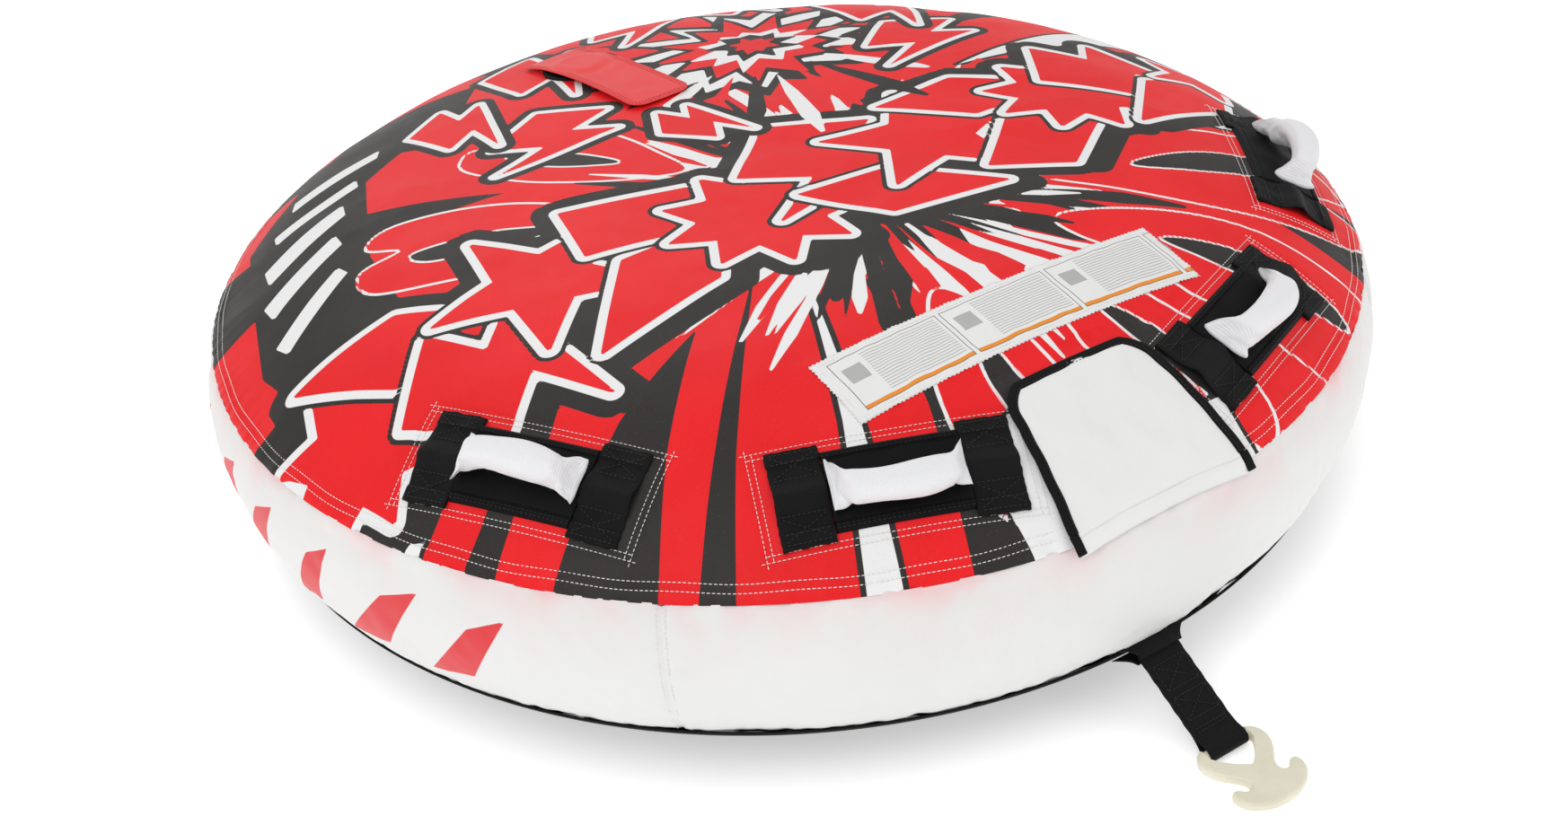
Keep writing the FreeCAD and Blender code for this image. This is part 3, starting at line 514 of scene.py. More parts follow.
def plain_material(name, colour, rough, grain=300.0, depth=0.00005, metal=0.0, specular=0.5):
    n = Nodes(name)
    speck = n.ramp(n.noise(grain, 3.0), 0.35, 0.7)
    tone = n.mix(n.mul(speck, 0.35), colour, tuple(0.72 * c for c in colour))
    n.bump(n.noise(grain * 2.0, 3.0), depth, 0.6)
    return n.set(Base_Color=tone, Roughness=n.add(n.mul(speck, 0.12), rough - 0.05), Metallic=metal,
                 Specular_IOR_Level=specular)


def connector_material():
    n = Nodes("connector_nylon")
    cloud = n.ramp(n.noise(28.0, 3.0), 0.3, 0.7)
    tone = n.mix(cloud, (0.80, 0.77, 0.64), (0.72, 0.69, 0.53))
    scuff = n.mul(n.ramp(n.noise(260.0, 4.0), 0.6, 0.75), 0.3)
    tone = n.mix(scuff, tone, (0.66, 0.62, 0.5))
    n.bump(n.noise(320.0, 3.0), 0.00006, 0.5)
    return n.set(Base_Color=tone, Roughness=n.add(n.mul(cloud, 0.15), 0.30), Subsurface_Weight=0.35,
                 Subsurface_Radius=(1.0, 0.8, 0.5), Subsurface_Scale=0.004, Coat_Weight=0.15,
                 Coat_Roughness=0.2)


def label_material():
    """Three plain framed panels with an orange bar along one edge and grey rules, no lettering."""
    n = Nodes("label")
    u, v = n.uv()
    panel = (2 * LABEL_HALF_W - 0.024) / 3.0
    shifted = n.add(u, LABEL_HALF_W - 0.012)
    cell = n.sub(n.modulo(shifted, panel), 0.5 * panel)
    across = n.absolute(cell)
    up = n.absolute(v)
    edge = n.larger(n.sub(across, 0.5 * panel - 0.0028), n.sub(up, 0.0345))
    inside = n.ramp(edge, 0.0001, -0.0001)
    frame_line = n.ramp(n.absolute(edge), 0.00055, 0.00035)
    bar = n.mul(inside, n.ramp(v, -0.0292, -0.0298))
    field = n.mul(n.ramp(edge, -0.0035, -0.0040), n.ramp(v, -0.027, -0.0265))
    rule = n.above(n.ridge(v, 0.0036), 0.60)
    column = n.above(cell, -0.030)
    rules = n.mul(n.mul(rule, field), n.mul(column, 0.50))
    square = n.larger(n.absolute(n.add(cell, 0.047)), n.absolute(n.sub(v, 0.010)))
    rules = n.larger(rules, n.mul(n.ramp(square, 0.0111, 0.0109), 0.62))
    colour = n.mix(rules, (0.80, 0.80, 0.79), (0.22, 0.22, 0.22))
    colour = n.mix(bar, colour, (0.83, 0.27, 0.015))
    colour = n.mix(frame_line, colour, (0.14, 0.12, 0.11))
    n.bump(n.add(weave(n, 0.0009), n.noise(90.0, 3.0)), 0.0001, 0.5)
    return n.set(Base_Color=colour, Roughness=0.6)


M = {
    "print": print_material(),
    "side": nylon_material("side_nylon", (0.77, 0.77, 0.755), printed=True),
    "flap": nylon_material("flap_nylon", (0.82, 0.82, 0.81), rough=0.42),
    "red": nylon_material("red_nylon", (0.82, 0.022, 0.022), rough=0.5),
    "bottom": nylon_material("bottom_nylon", (0.012, 0.012, 0.013), rough=0.6, pitch=0.0022),
    "webbing": webbing_material("webbing", (0.0042, 0.0042, 0.0045)),
    "tape": webbing_material("binding", BLACK, rib=0.0016, along=0.0016, rough=0.7, depth=0.0003),
    "guard": plain_material("guard", (0.0030, 0.0030, 0.0034), 0.6, grain=700.0, specular=0.12),
    "sleeve": knit_material("sleeve", (0.88, 0.88, 0.90)),
    "label": label_material(),
    "connector": connector_material(),
    "thread": plain_material("white_thread", (0.84, 0.82, 0.80), 0.7, grain=1500.0, specular=0.3),
    "red_thread": plain_material("red_thread", (0.55, 0.02, 0.02), 0.6, grain=1500.0),
    "black_thread": plain_material("black_thread", (0.010, 0.010, 0.010), 0.45, grain=1500.0),
    "plastic": plain_material("valve_plastic", (0.02, 0.02, 0.022), 0.38, grain=500.0),
    "rubber": plain_material("valve_rubber", (0.05, 0.05, 0.05), 0.6, grain=400.0),
    "pvc": plain_material("pvc", (0.10, 0.10, 0.11), 0.32, grain=90.0),
    "brass": plain_material("brass", (0.72, 0.50, 0.20), 0.35, grain=300.0, metal=1.0),
    "zip_metal": plain_material("zip_metal", (0.35, 0.35, 0.36), 0.35, grain=600.0, metal=1.0),
    "coil": plain_material("zip_coil", (0.02, 0.02, 0.02), 0.35, grain=900.0),
    "hook": plain_material("hook_loop", (0.03, 0.03, 0.03), 0.95, grain=1600.0, depth=0.0006,
                           specular=0.15),
}


def dress(obj, material):
    obj.data.materials.clear()
    obj.data.materials.append(M[material])
    return obj


def fit(obj, material, slot, body, *nodes):
    """Gives a piece its look and its body, and hides the CAD nodes it stands for."""
    dress(obj, material)
    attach(obj, body)
    if nodes:
        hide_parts(*nodes)


def sew(name, rows, thread="black_thread", body="cover", **size):
    """Stitches that ride body."""
    fit(stitches(name, rows, **size), thread, None, body)


# ---------------------------------------------------------------- the print, as distance fields


def box_mask(p, low, high, margin=0.03):
    return np.all((p > np.asarray(low) - margin) & (p < np.asarray(high) + margin), axis=1)


def polygon_distance(p, corners, rounding=0.0):
    """Signed distance from points p to a closed outline, negative inside."""
    corners = np.asarray(corners, float)
    result = np.full(len(p), FAR)
    near = box_mask(p, corners.min(0), corners.max(0))
    q = p[near]
    if not len(q):
        return result
    best = np.full(len(q), 1e9)
    inside = np.zeros(len(q), bool)
    for a, b in zip(corners, np.roll(corners, -1, axis=0)):
        ab = b - a
        t = np.clip(((q - a) @ ab) / max(ab @ ab, 1e-12), 0, 1)
        d = q - (a + t[:, None] * ab)
        best = np.minimum(best, (d * d).sum(1))
        crosses = (a[1] > q[:, 1]) != (b[1] > q[:, 1])
        slope = ab[0] / ab[1] if abs(ab[1]) > 1e-12 else 0.0
        inside ^= crosses & (q[:, 0] < a[0] + (q[:, 1] - a[1]) * slope)
    result[near] = np.where(inside, -1.0, 1.0) * np.sqrt(best) - rounding
    return result


def curve(points, count):
    """Points on a smooth closed line through the given ones."""
    p = np.asarray(points, float)
    p = np.concatenate([p[-1:], p, p[:2]])
    out = []
    for i in range(1, len(p) - 2):
        t = np.linspace(0, 1, count, endpoint=False)[:, None]
        out.append(0.5 * (2 * p[i] + (p[i + 1] - p[i - 1]) * t
                          + (2 * p[i - 1] - 5 * p[i] + 4 * p[i + 1] - p[i + 2]) * t**2
                          + (3 * p[i] - p[i - 1] - 3 * p[i + 1] + p[i + 2]) * t**3))
    out.append(p[-2][None])
    return np.concatenate(out)


class Ink:
    """Layers of white and dark print over a red ground. Later shapes cover earlier ones."""

    def __init__(self, p):
        self.p = p
        self.fields = {"white": np.full(len(p), FAR), "dark": np.full(len(p), FAR)}

    def lay(self, colour, distance):
        for name, field in self.fields.items():
            if name == colour:
                np.minimum(field, distance, out=field)
            else:
                np.maximum(field, -distance, out=field)

    def fill(self, colour, corners):
        self.lay(colour, polygon_distance(self.p, corners))

    def edged(self, colour, edge, distance, reach):
        """A shape of one colour with an edge of another, reach wide."""
        self.lay(edge, distance - reach)
        self.lay(colour, distance)

    def outlined(self, distance, white, dark):
        """A red shape with a white edge on a dark outline, each out to the given reach."""
        self.lay("dark", distance - dark)
        self.edged("red", "white", distance, white)


def polar(angle, radius, centre=(0.0, 0.0)):
    """Plan point at an azimuth in degrees and a radius."""
    turn = math.radians(angle)
    return np.array([centre[0] + radius * math.sin(turn), centre[1] - radius * math.cos(turn)])


def shard(ink, colour, centre, angle, near, far, wide, bend=0.0):
    """A long pointed splinter that flies out from centre."""
    points = []
    for share, w in ((0.0, 0.0), (0.35, 0.35), (0.75, 0.5), (1.0, 0.12)):
        r = near + share * (far - near)
        points.append((r, math.degrees(w * wide / max(r, 0.02))))
    left = [polar(angle + bend * (r - near) - a, r, centre) for r, a in points]
    right = [polar(angle + bend * (r - near) + a, r, centre) for r, a in reversed(points)]
    ink.fill(colour, left + right)


def burst_outline(centre, inner, outer, count, seed, start=0.0, squash=1.0):
    rng = np.random.RandomState(seed)
    points = []
    for i in range(count):
        for k, r in ((0.0, outer * rng.uniform(0.72, 1.1)), (0.5, inner * rng.uniform(0.85, 1.15))):
            q = polar(start + 360.0 * (i + k + rng.uniform(-0.12, 0.12)) / count, r)
            points.append((centre[0] + q[0], centre[1] + q[1] * squash))
    return points


def placed(outline, origin, angle, size):
    """An outline turned by angle degrees, scaled and moved to origin."""
    c, s = math.cos(math.radians(angle)), math.sin(math.radians(angle))
    return np.array(outline) @ np.array([[c, s], [-s, c]]) * size + np.asarray(origin)


def even_star(points, inner):
    """A star one across whose notches reach in to a share of its radius."""
    rim = [(0.5 * (1.0, inner)[k % 2], math.pi * k / points) for k in range(2 * points)]
    return [(r * math.sin(a), r * math.cos(a)) for r, a in rim]


BOLT = [(x + 0.2 * y, y) for x, y in ((-0.42, 0.50), (0.16, 0.56), (0.02, 0.16), (0.40, 0.20), (-0.26, -0.62),
                                      (-0.08, -0.12), (-0.50, -0.16))]
KITE = [(-0.34, 0.12), (0.06, 0.78), (0.34, 0.10), (-0.02, -0.78)]
SPLINTER = [(-0.40, 0.44), (0.30, 0.62), (0.44, -0.34), (-0.12, -0.66)]
STAR, BURST = even_star(5, 0.42), even_star(9, 0.62)
ZIGZAG = [(-0.46, 0.52), (0.20, 0.66), (0.10, 0.20), (0.48, 0.24), (-0.14, -0.70), (-0.02, -0.14), (-0.50, -0.18)]
BAND = (  # outline, x, y, turn in degrees, size
    (BURST, -0.590, -0.150, 10, 0.200), (KITE, -0.500, -0.075, 68, 0.165), (ZIGZAG, -0.440, -0.190, 40, 0.170),
    (STAR, -0.350, -0.085, 12, 0.250), (KITE, -0.250, -0.170, -56, 0.170), (SPLINTER, -0.205, -0.050, 64, 0.150),
    (BURST, -0.095, -0.120, 6, 0.225), (ZIGZAG, 0.020, -0.070, -42, 0.185), (KITE, 0.060, -0.175, 62, 0.150),
    (STAR, 0.160, -0.085, -16, 0.255), (SPLINTER, 0.265, -0.160, -62, 0.150), (KITE, 0.275, -0.030, 72, 0.160),
    (BURST, 0.375, -0.090, 14, 0.215), (ZIGZAG, 0.480, -0.050, 46, 0.165), (KITE, 0.500, -0.150, -64, 0.150),
    (STAR, 0.595, -0.080, 20, 0.150),
)
RINGS = (  # colour, share of the size, points, seed
    ("dark", 1.20, 15, 21), ("white", 1.0, 15, 21), ("dark", 0.80, 13, 24), ("red", 0.68, 13, 24),
    ("white", 0.46, 11, 27), ("dark", 0.33, 9, 30), ("red", 0.20, 8, 33),
)
DARK_FIELD = (  # azimuth, radius
    (-60, 0.50), (-75, 0.63), (-95, 0.63), (-122, 0.64), (-150, 0.63), (-160, 0.50), (-150, 0.45), (-128, 0.50),
    (-104, 0.48), (-82, 0.49),
)
LOBES = (  # share of the length, share of the width
    (0.0, 0.0), (0.25, 0.32), (0.6, 0.5), (0.93, 0.42), (1.0, 0.12), (0.86, -0.05), (0.99, -0.22), (0.9, -0.46),
    (0.5, -0.46), (0.2, -0.25),
)
HEART = ((0.30, 0.02), (0.50, 0.17), (0.74, 0.20), (0.82, 0.06), (0.66, -0.02), (0.48, -0.05))
BLAST = (0.015, -0.155)  # the middle of the explosion
STARBURST, STARBURST_SIZE = (0.150, 0.285), 0.20
RAYS = (  # azimuth, width in degrees, colour
    (-170, 15, "dark"), (-138, 9, "dark"), (-112, 16, "dark"), (-84, 8, "dark"), (-66, 4, "white"),
    (-58, 3, "dark"), (-47, 9, "dark"), (-38, 3, "dark"), (-25, 3, "white"), (-14, 8, "dark"),
    (10, 6, "dark"), (30, 4, "white"), (47, 12, "dark"), (66, 6, "white"), (79, 7, "dark"),
    (98, 10, "white"), (116, 7, "dark"), (137, 10, "dark"), (158, 6, "white"),
)
PETALS = (  # azimuth, inner and outer reach, width
    (38, 0.22, 0.6, 0.17), (66, 0.2, 0.58, 0.19), (12, 0.24, 0.52, 0.13), (-14, 0.22, 0.5, 0.13),
    (96, 0.24, 0.6, 0.15), (-118, 0.24, 0.56, 0.15), (-92, 0.26, 0.52, 0.12), (-146, 0.22, 0.5, 0.14),
)
BOLTS = (  # x, y, turn in degrees, size
    (-0.08, 0.42, 20, 0.16), (0.34, 0.16, -30, 0.15), (0.4, 0.33, 15, 0.17), (-0.18, 0.2, -40, 0.15),
    (-0.02, 0.13, 60, 0.1), (0.1, 0.5, -10, 0.15), (-0.24, 0.335, 30, 0.13), (0.25, 0.5, 40, 0.13),
)


def deck_fields(p):
    """The fields of the dark and the white print at plan points p."""
    ink = Ink(p)
    rng = np.random.RandomState(11)
    # broad dark and white rays that reach the rim
    for angle, wide, colour in RAYS:
        tip = rng.uniform(0.26, 0.40)
        a, b = polar(angle - 0.5 * wide, 0.70), polar(angle + 0.5 * wide, 0.70)
        middle = polar(angle + rng.uniform(-3, 3), tip)
        bulge_a, bulge_b = polar(angle - 0.32 * wide, 0.52), polar(angle + 0.34 * wide, 0.55)
        if colour == "white":
            ink.edged("white", "dark", polygon_distance(p, [middle, bulge_a, a, b, bulge_b]), 0.0055)
        else:
            ink.fill(colour, [middle, bulge_a, a, b, bulge_b])
    # dark field behind everything on the left of the deck
    ink.fill("dark", [polar(*spot) for spot in DARK_FIELD])
    # the explosion: two rings of splinters round a point in front of the middle
    ink.fill("white", burst_outline(BLAST, 0.16, 0.30, 21, 3, squash=0.95))
    ink.fill("dark", burst_outline(BLAST, 0.12, 0.235, 23, 5, start=7.0))
    for i in range(46):
        angle = 360.0 * i / 46 + rng.uniform(-3, 3)
        far = rng.uniform(0.22, 0.40)
        shard(ink, ("white", "red", "red", "white", "dark")[rng.randint(5)], BLAST, angle,
              rng.uniform(0.02, 0.12), far, rng.uniform(0.010, 0.030), rng.uniform(-20, 20))
    # big petals with a fine white edge
    for angle, r0, r1, wide in PETALS:
        d0 = polar(angle, 1.0) - polar(angle, 0.0)
        side = np.array([-d0[1], d0[0]])
        base, run = polar(angle, r0, BLAST), (r1 - r0)
        lobes, heart = ([base + d0 * t * run + side * s * wide for t, s in shape] for shape in (LOBES, HEART))
        ink.edged("red", "white", polygon_distance(p, curve(lobes, 7)), 0.0042)
        ink.edged("dark", "white", polygon_distance(p, curve(heart, 7)), 0.0038)
    for i in range(30):
        angle = 360.0 * i / 30 + rng.uniform(-4, 4)
        shard(ink, ("white", "dark", "red")[rng.randint(3)], BLAST, angle, rng.uniform(0.05, 0.16),
              rng.uniform(0.24, 0.37), rng.uniform(0.006, 0.018), rng.uniform(-12, 12))
    band(ink)
    starburst(ink, STARBURST, STARBURST_SIZE)
    for x, y, a, size in BOLTS:
        ink.outlined(polygon_distance(p, placed(BOLT, (x, y), a, size)), 0.009, 0.020)
    slashes(ink)
    # clean white cloth under and beside the valve flap
    patch = polygon_distance(p, [(-0.150, -0.70), (-0.146, -0.58), (-0.118, -0.545), (-0.070, -0.545),
                                 (-0.060, -0.61), (0.124, -0.61), (0.124, -0.70)])
    ink.edged("white", "dark", patch, 0.0045)
    return ink.fields["dark"], ink.fields["white"]


def band(ink):
    """Bold red stars, kites and bolts from rim to rim, each with a white edge, on one thick dark outline."""
    shapes = [placed(outline, (x, y), angle, size) for outline, x, y, angle, size in BAND]
    distances = [polygon_distance(ink.p, shape, 0.002) for shape in shapes]
    shadows = [polygon_distance(ink.p, shape + np.array([0.016, -0.020])) for shape in shapes]
    union = np.minimum.reduce(distances)
    ink.lay("dark", np.minimum(union - 0.030, np.minimum.reduce(shadows) - 0.018))
    for distance in distances:
        ink.outlined(distance, 0.0100, 0.0150)


def starburst(ink, centre, size):
    """Nested many-pointed stars in dark, white and red."""
    for colour, share, count, seed in RINGS:
        ink.fill(colour, burst_outline(centre, 0.58 * size * share, size * share, count, seed, squash=0.85))
    for k in range(9):
        shard(ink, ("white", "red", "dark")[k % 3], centre, -62 + 15.5 * k, 0.5 * size,
              size * (1.25 + 0.2 * (k % 2)), 0.024)


def slashes(ink):
    """Slanted white strokes in a row along the dark field near the left rim."""
    for i in range(5):
        a = -100.0 - 8.2 * i
        wide = 1.7 + 0.5 * ((i * 7) % 3)
        lean = 3.4
        ink.fill("white", [polar(a - wide - lean, 0.517), polar(a + 0.4 * wide - lean, 0.508),
                           polar(a + wide + lean, 0.598), polar(a - 0.5 * wide + lean, 0.606)])


# ---------------------------------------------------------------- cover


PLANES = {name: Plane(HANDLE_R, azimuth, False) for name, azimuth, _ in HANDLES}
PATCH_HALF = (0.1335, 0.0555)
PATCH_ROWS = (0.0, 0.0062)


def rectangle_dip(points):
    """How near each deck point is to the stitched rectangles, 0 to 1."""
    dip = np.zeros(len(points))
    for plane in PLANES.values():
        q = points - plane.origin
        x, y = np.abs(q @ plane.x), np.abs(q @ plane.y)
        for inset in PATCH_ROWS:
            w, l = PATCH_HALF[0] - inset, PATCH_HALF[1] - inset
            d = np.maximum(x - w, y - l)
            near = np.where((x < w + 0.02) & (y < l + 0.02), np.abs(d), 1.0)
            dip = np.maximum(dip, np.exp(-(near / 0.0028) ** 2))
    return dip


def covered(points):
    """0 under the pieces sewn on the deck, 1 elsewhere."""
    free = np.ones(len(points))
    for plane in PLANES.values():
        q = points - plane.origin
        d = np.maximum(np.abs(q @ plane.x) - 0.118, np.abs(q @ plane.y) - 0.051)
        free *= smoothstep(0.0, 0.012, d)
    d = np.maximum(np.abs(points[:, 0]) - LABEL_HALF_W, np.abs(points[:, 1] + LABEL_R) - LABEL_HALF_L)
    free *= smoothstep(0.0, 0.02, d)
    d = np.maximum(np.abs(points[:, 0]) - 0.112, points[:, 1] + 0.522)
    free *= smoothstep(0.0, 0.01, d)
    return free


PORTS = [(MAIN_VALVE_R, 0.0), (DECK_VALVE_R, DECK_VALVE_AZ)]


def away_from_ports(centres, radius):
    keep = np.ones(centres.shape[:-1], bool)
    for r, azimuth in PORTS:
        p = polar(azimuth, r)
        keep &= np.hypot(centres[..., 0] - p[0], centres[..., 1] - p[1]) > radius
    return keep


def make_deck():
    radii = np.concatenate([np.linspace(0.02, 0.60, 124, endpoint=False), np.linspace(0.60, SEAM_R, 28)])
    count = 960
    turn = circle(count)
    r, a = np.meshgrid(radii, turn, indexing="ij")
    points = turned(r, deck_z(r), a).reshape(-1, 3)
    rr, aa = r.ravel(), a.ravel()
    rim = np.stack([np.sin(aa) * 0.7, -np.cos(aa) * 0.7, 0 * aa], -1)
    gap = SEAM_R - rr
    pucker = 0.5 + 0.5 * waves(rim, 0.016, 31) + 0.35 * waves(rim, 0.045, 32)
    sink = 0.0018 * np.clip(pucker, 0, 1.4) * np.exp(-gap / 0.016) + 0.0014 * np.exp(-gap / 0.003)
    sink += 0.0011 * rectangle_dip(points)
    sink += 0.0016 * np.clip(waves(points, 0.16, 33) + 0.2, 0, 1.5) * covered(points) * (rr < 0.665)
    near_flap = np.exp(-np.maximum(np.abs(points[:, 0]) - 0.12, 0) / 0.04) * (points[:, 1] < -0.5)
    folds = waves(points * np.array([2.4, 0.6, 1]), 0.05, 34)
    sink += 0.0016 * near_flap * covered(points) * np.clip(folds, 0, 1.5)
    points = points - deck_away(rr, aa) * sink[:, None]
    grid = points.reshape(len(radii), count, 3)
    middles = 0.5 * (grid[:-1] + grid[1:])
    keep = away_from_ports(middles, PORT_TAPE_R)
    centre = len(points)
    points = np.concatenate([points, [[0, 0, deck_z(0.0)]]])
    faces = grid_faces(len(radii), count, around=True, keep=keep)
    faces += [(centre, (j + 1) % count, j) for j in range(count)]
    uv = points[:, :2]
    deck = new_object("deck_cloth", points, [tuple(reversed(f)) for f in faces], uv)
    dark, white = deck_fields(points[:, :2])
    value(deck, "print_dark", dark - 0.0004)
    value(deck, "print_white", white)
    bm = bmesh.new()
    bm.from_mesh(deck.data)
    bmesh.ops.delete(bm, geom=[v for v in bm.verts if not v.link_faces], context="VERTS")
    bmesh.ops.recalc_face_normals(bm, faces=bm.faces)
    bm.to_mesh(deck.data)
    bm.free()
    fit(deck, "print", "deck_print", "cover", "deck_panel", "handle_backing_patches", "seam_tape")
    return deck


def make_deck_stitching():
    turn = np.linspace(0, 2 * math.pi, 900)
    rows = []
    for inset in (0.009, 0.0155):
        r = SEAM_R - inset + 0.0006 * np.sin(37 * turn)
        wobble = turned(r, deck_z(r) - 0.0006, turn)
        away = deck_away(r, turn)
        gone = np.abs(wobble[:, 0]) < 0.109
        front = gone & (wobble[:, 1] < 0)
        kept = ~front
        start = int(np.argmax(kept & (np.roll(front, 1)))) if front.any() else 0
        order = np.roll(np.arange(len(turn)), -start)
        order = order[kept[order]]
        rows.append((wobble[order], away[order]))
    for plane in PLANES.values():
        for inset in PATCH_ROWS:
            w, l = PATCH_HALF[0] - inset, PATCH_HALF[1] - inset
            over = 0.006
            for corners in ([(-w - over, -l), (w + over, -l)], [(w, -l - over), (w, l + over)],
                            [(w + over, l), (-w - over, l)], [(-w, l + over), (-w, -l - over)]):
                rows.append(on_plane(plane, corners, -0.0006))
    sew("deck_stitching", rows, "thread", step=0.0048, length=0.0036, width=0.00085)


SIDE_SEAMS = [("front", -42.5, 85.0), ("right", 42.5, 95.0), ("back", 137.5, 85.0), ("left", 222.5, 95.0)]


def side_print(azimuth, arc):
    """Distance to the slanted red slivers on the left side and at the back, in flat coordinates."""
    p = np.stack([np.degrees(azimuth) * PER_DEGREE, arc * RING_TUBE_R], -1).reshape(-1, 2)
    field = np.full(len(p), FAR)
    middle = 0.5 * (SEAM_ARC + BINDING_ARC) * RING_TUBE_R
    for start, count in ((253.0, 6), (112.0, 7)):
        for i in range(count):
            u = (start + 9.3 * i) * PER_DEGREE
            tall = 0.060 - 0.0012 * i
            wide = 0.042 + 0.007 * ((i * 5) % 3)
            outline = [(u - 1.1 * wide, middle - tall), (u + 0.1 * wide, middle - 0.72 * tall),
                       (u + 1.2 * wide, middle + tall), (u + 0.3 * wide, middle + 0.62 * tall)]
            field = np.minimum(field, polygon_distance(p, outline))
    return field


def make_side():
    for name, start, span in SIDE_SEAMS:
        rows = 48
        cols = int(span / 360.0 * 2 * math.pi * SIDE_R / 0.0042)
        arc, deg = np.meshgrid(np.linspace(BINDING_ARC, SEAM_ARC, rows),
                               np.linspace(start, start + span, cols),
                               indexing="ij")
        a = np.radians(deg)
        rim = np.stack([np.sin(a) * 0.7, -np.cos(a) * 0.7, 0.0 * a], -1)
        top = (SEAM_ARC - arc) * RING_TUBE_R
        low = (arc - BINDING_ARC) * RING_TUBE_R
        end = np.minimum(deg - start, start + span - deg) * math.pi / 180.0 * SIDE_R
        full = np.stack([rim[..., 0], rim[..., 1], arc * RING_TUBE_R], -1)
        fine = np.clip(0.5 + 0.5 * waves(rim, 0.020, 41) + 0.3 * waves(rim, 0.05, 45), 0, 1.5)
        sink = 0.0016 * fine * np.exp(-top / 0.022) + 0.0016 * np.exp(-top / 0.004)
        sink += 0.0014 * fine[..., ::-1] * np.exp(-low / 0.02)
        sink += 0.0022 * np.exp(-((end / 0.0045) ** 2)) + 0.0012 * np.exp(-end / 0.03) * np.clip(
            waves(full * np.array([0.5, 0.5, 3.0]), 0.06, 43), 0, 1.4)
        sink += 0.0022 * np.clip(waves(full * np.array([1.0, 1.0, 0.55]), 0.11, 42) + 0.1, 0,
                                 1.5) * smoothstep(
            0.0, 0.02, top)
        sink += 0.0010 * np.clip(waves(full * np.array([1.5, 1.5, 0.8]), 0.045, 46), 0, 1.5)
        r, z = side_xz(arc, -sink)
        points = turned(r, z, a)
        panel = new_object("side_cloth_" + name, points, grid_faces(rows, cols),
                           np.stack([a * SIDE_R, arc * RING_TUBE_R], -1))
        glow = np.exp(-top / 0.020) * (0.5 + 0.5 * waves(rim, 0.12, 44)) * (np.cos(a) > -0.3)
        value(panel, "bleed", np.clip(glow, 0, 1))
        value(panel, "print_red", side_print(np.where(a < 0, a + 2 * math.pi, a), arc))
        fix_outwards(panel)
        fit(panel, "side", "side_nylon", "cover", "side_panel_" + name)
    rows = []
    for _, start, _ in SIDE_SEAMS:
        for shift in (-0.35, 0.35):
            arc = np.linspace(BINDING_ARC + 0.03, SEAM_ARC - 0.02, 40)
            rows.append(side_row(arc, np.full(40, math.radians(start + shift)), -0.0012))
    arc = np.linspace(BINDING_ARC + 0.05, BINDING_ARC + 0.30, 14)
    for shift, lean in ((-3.2, 1.6), (3.2, -1.6), (-1.4, 0.0), (1.4, 0.0), (-3.0, 6.0), (3.0, -6.0)):
        rows.append(side_row(arc, np.radians(shift + lean * np.linspace(0, 1, 14)), -0.0008))
    sew("side_stitching", rows, "thread", width=0.0008)


def fix_outwards(obj):
    """Turns an open sheet's faces away from the tube's middle."""
    mesh = obj.data
    f = mesh.polygons[len(mesh.polygons) // 2]
    c = f.center - Vector((0, 0, 0.15))
    if f.normal.dot(c) < 0:
        mesh.flip_normals()
    return obj


def make_bottom():
    arcs = np.linspace(0.0, BINDING_ARC, 40)
    r_side, z_side = side_xz(arcs, 0.0)
    r_flat = np.linspace(0.02, RING_CENTRE_R, 50, endpoint=False)
    radii = np.concatenate([r_flat, r_side])
    heights = np.concatenate([np.full(50, 0.0), z_side])
    count = 420
    turn = circle(count)
    r, a = np.meshgrid(radii, turn, indexing="ij")
    z = np.repeat(heights[:, None], count, 1)
    points = turned(r, z, a)
    rim = np.stack([np.sin(a), -np.cos(a), 0.0 * a], -1)
    edge = np.clip((r - RING_CENTRE_R) / 0.14, 0, 1)
    crease = np.clip(waves(rim, 0.05, 51) + 0.2, 0, 1.5) * edge**2 * 0.0016
    hollow = np.clip(waves(points, 0.2, 52) + 0.4, 0, 1.5) * 0.0012
    points[..., 2] += np.maximum(crease, hollow * (r < 0.60))
    points[..., 0] *= 1.0 - crease / 0.6
    points[..., 1] *= 1.0 - crease / 0.6
    flat = points.reshape(-1, 3)
    centre = len(flat)
    flat = np.concatenate([flat, [[0, 0, 0.0005]]])
    faces = grid_faces(len(radii), count, around=True) + [(centre, (j + 1) % count,
                                                           j) for j in range(count)]
    bottom = new_object("bottom_cloth", flat, faces, flat[:, :2])
    fix_normals(bottom)
    fit(bottom, "bottom", "bottom_nylon", "cover", "bottom_panel")
    # binding tape folded over the seam between the side and the bottom
    count = 480
    turn = circle(count)
    r, z = side_xz(BINDING_ARC, 0.0013)
    path = turned(np.full(count, float(r)), np.full(count, float(z)), turn)
    arc = BINDING_ARC
    up = side_away(arc, turn)
    across = np.stack([np.cos(arc) * np.sin(turn), -np.cos(arc) * np.cos(turn),
                       np.full(count, math.sin(arc))], -1)
    wobble = 1.0 + 0.08 * np.sin(61 * turn) * np.sin(7 * turn)
    tape = tube("bottom_tape", path, across, up, 0.0108 * wobble, 0.0030, power=0.7, closed=True)
    fit(tape, "tape", "binding", "cover", "bottom_binding")


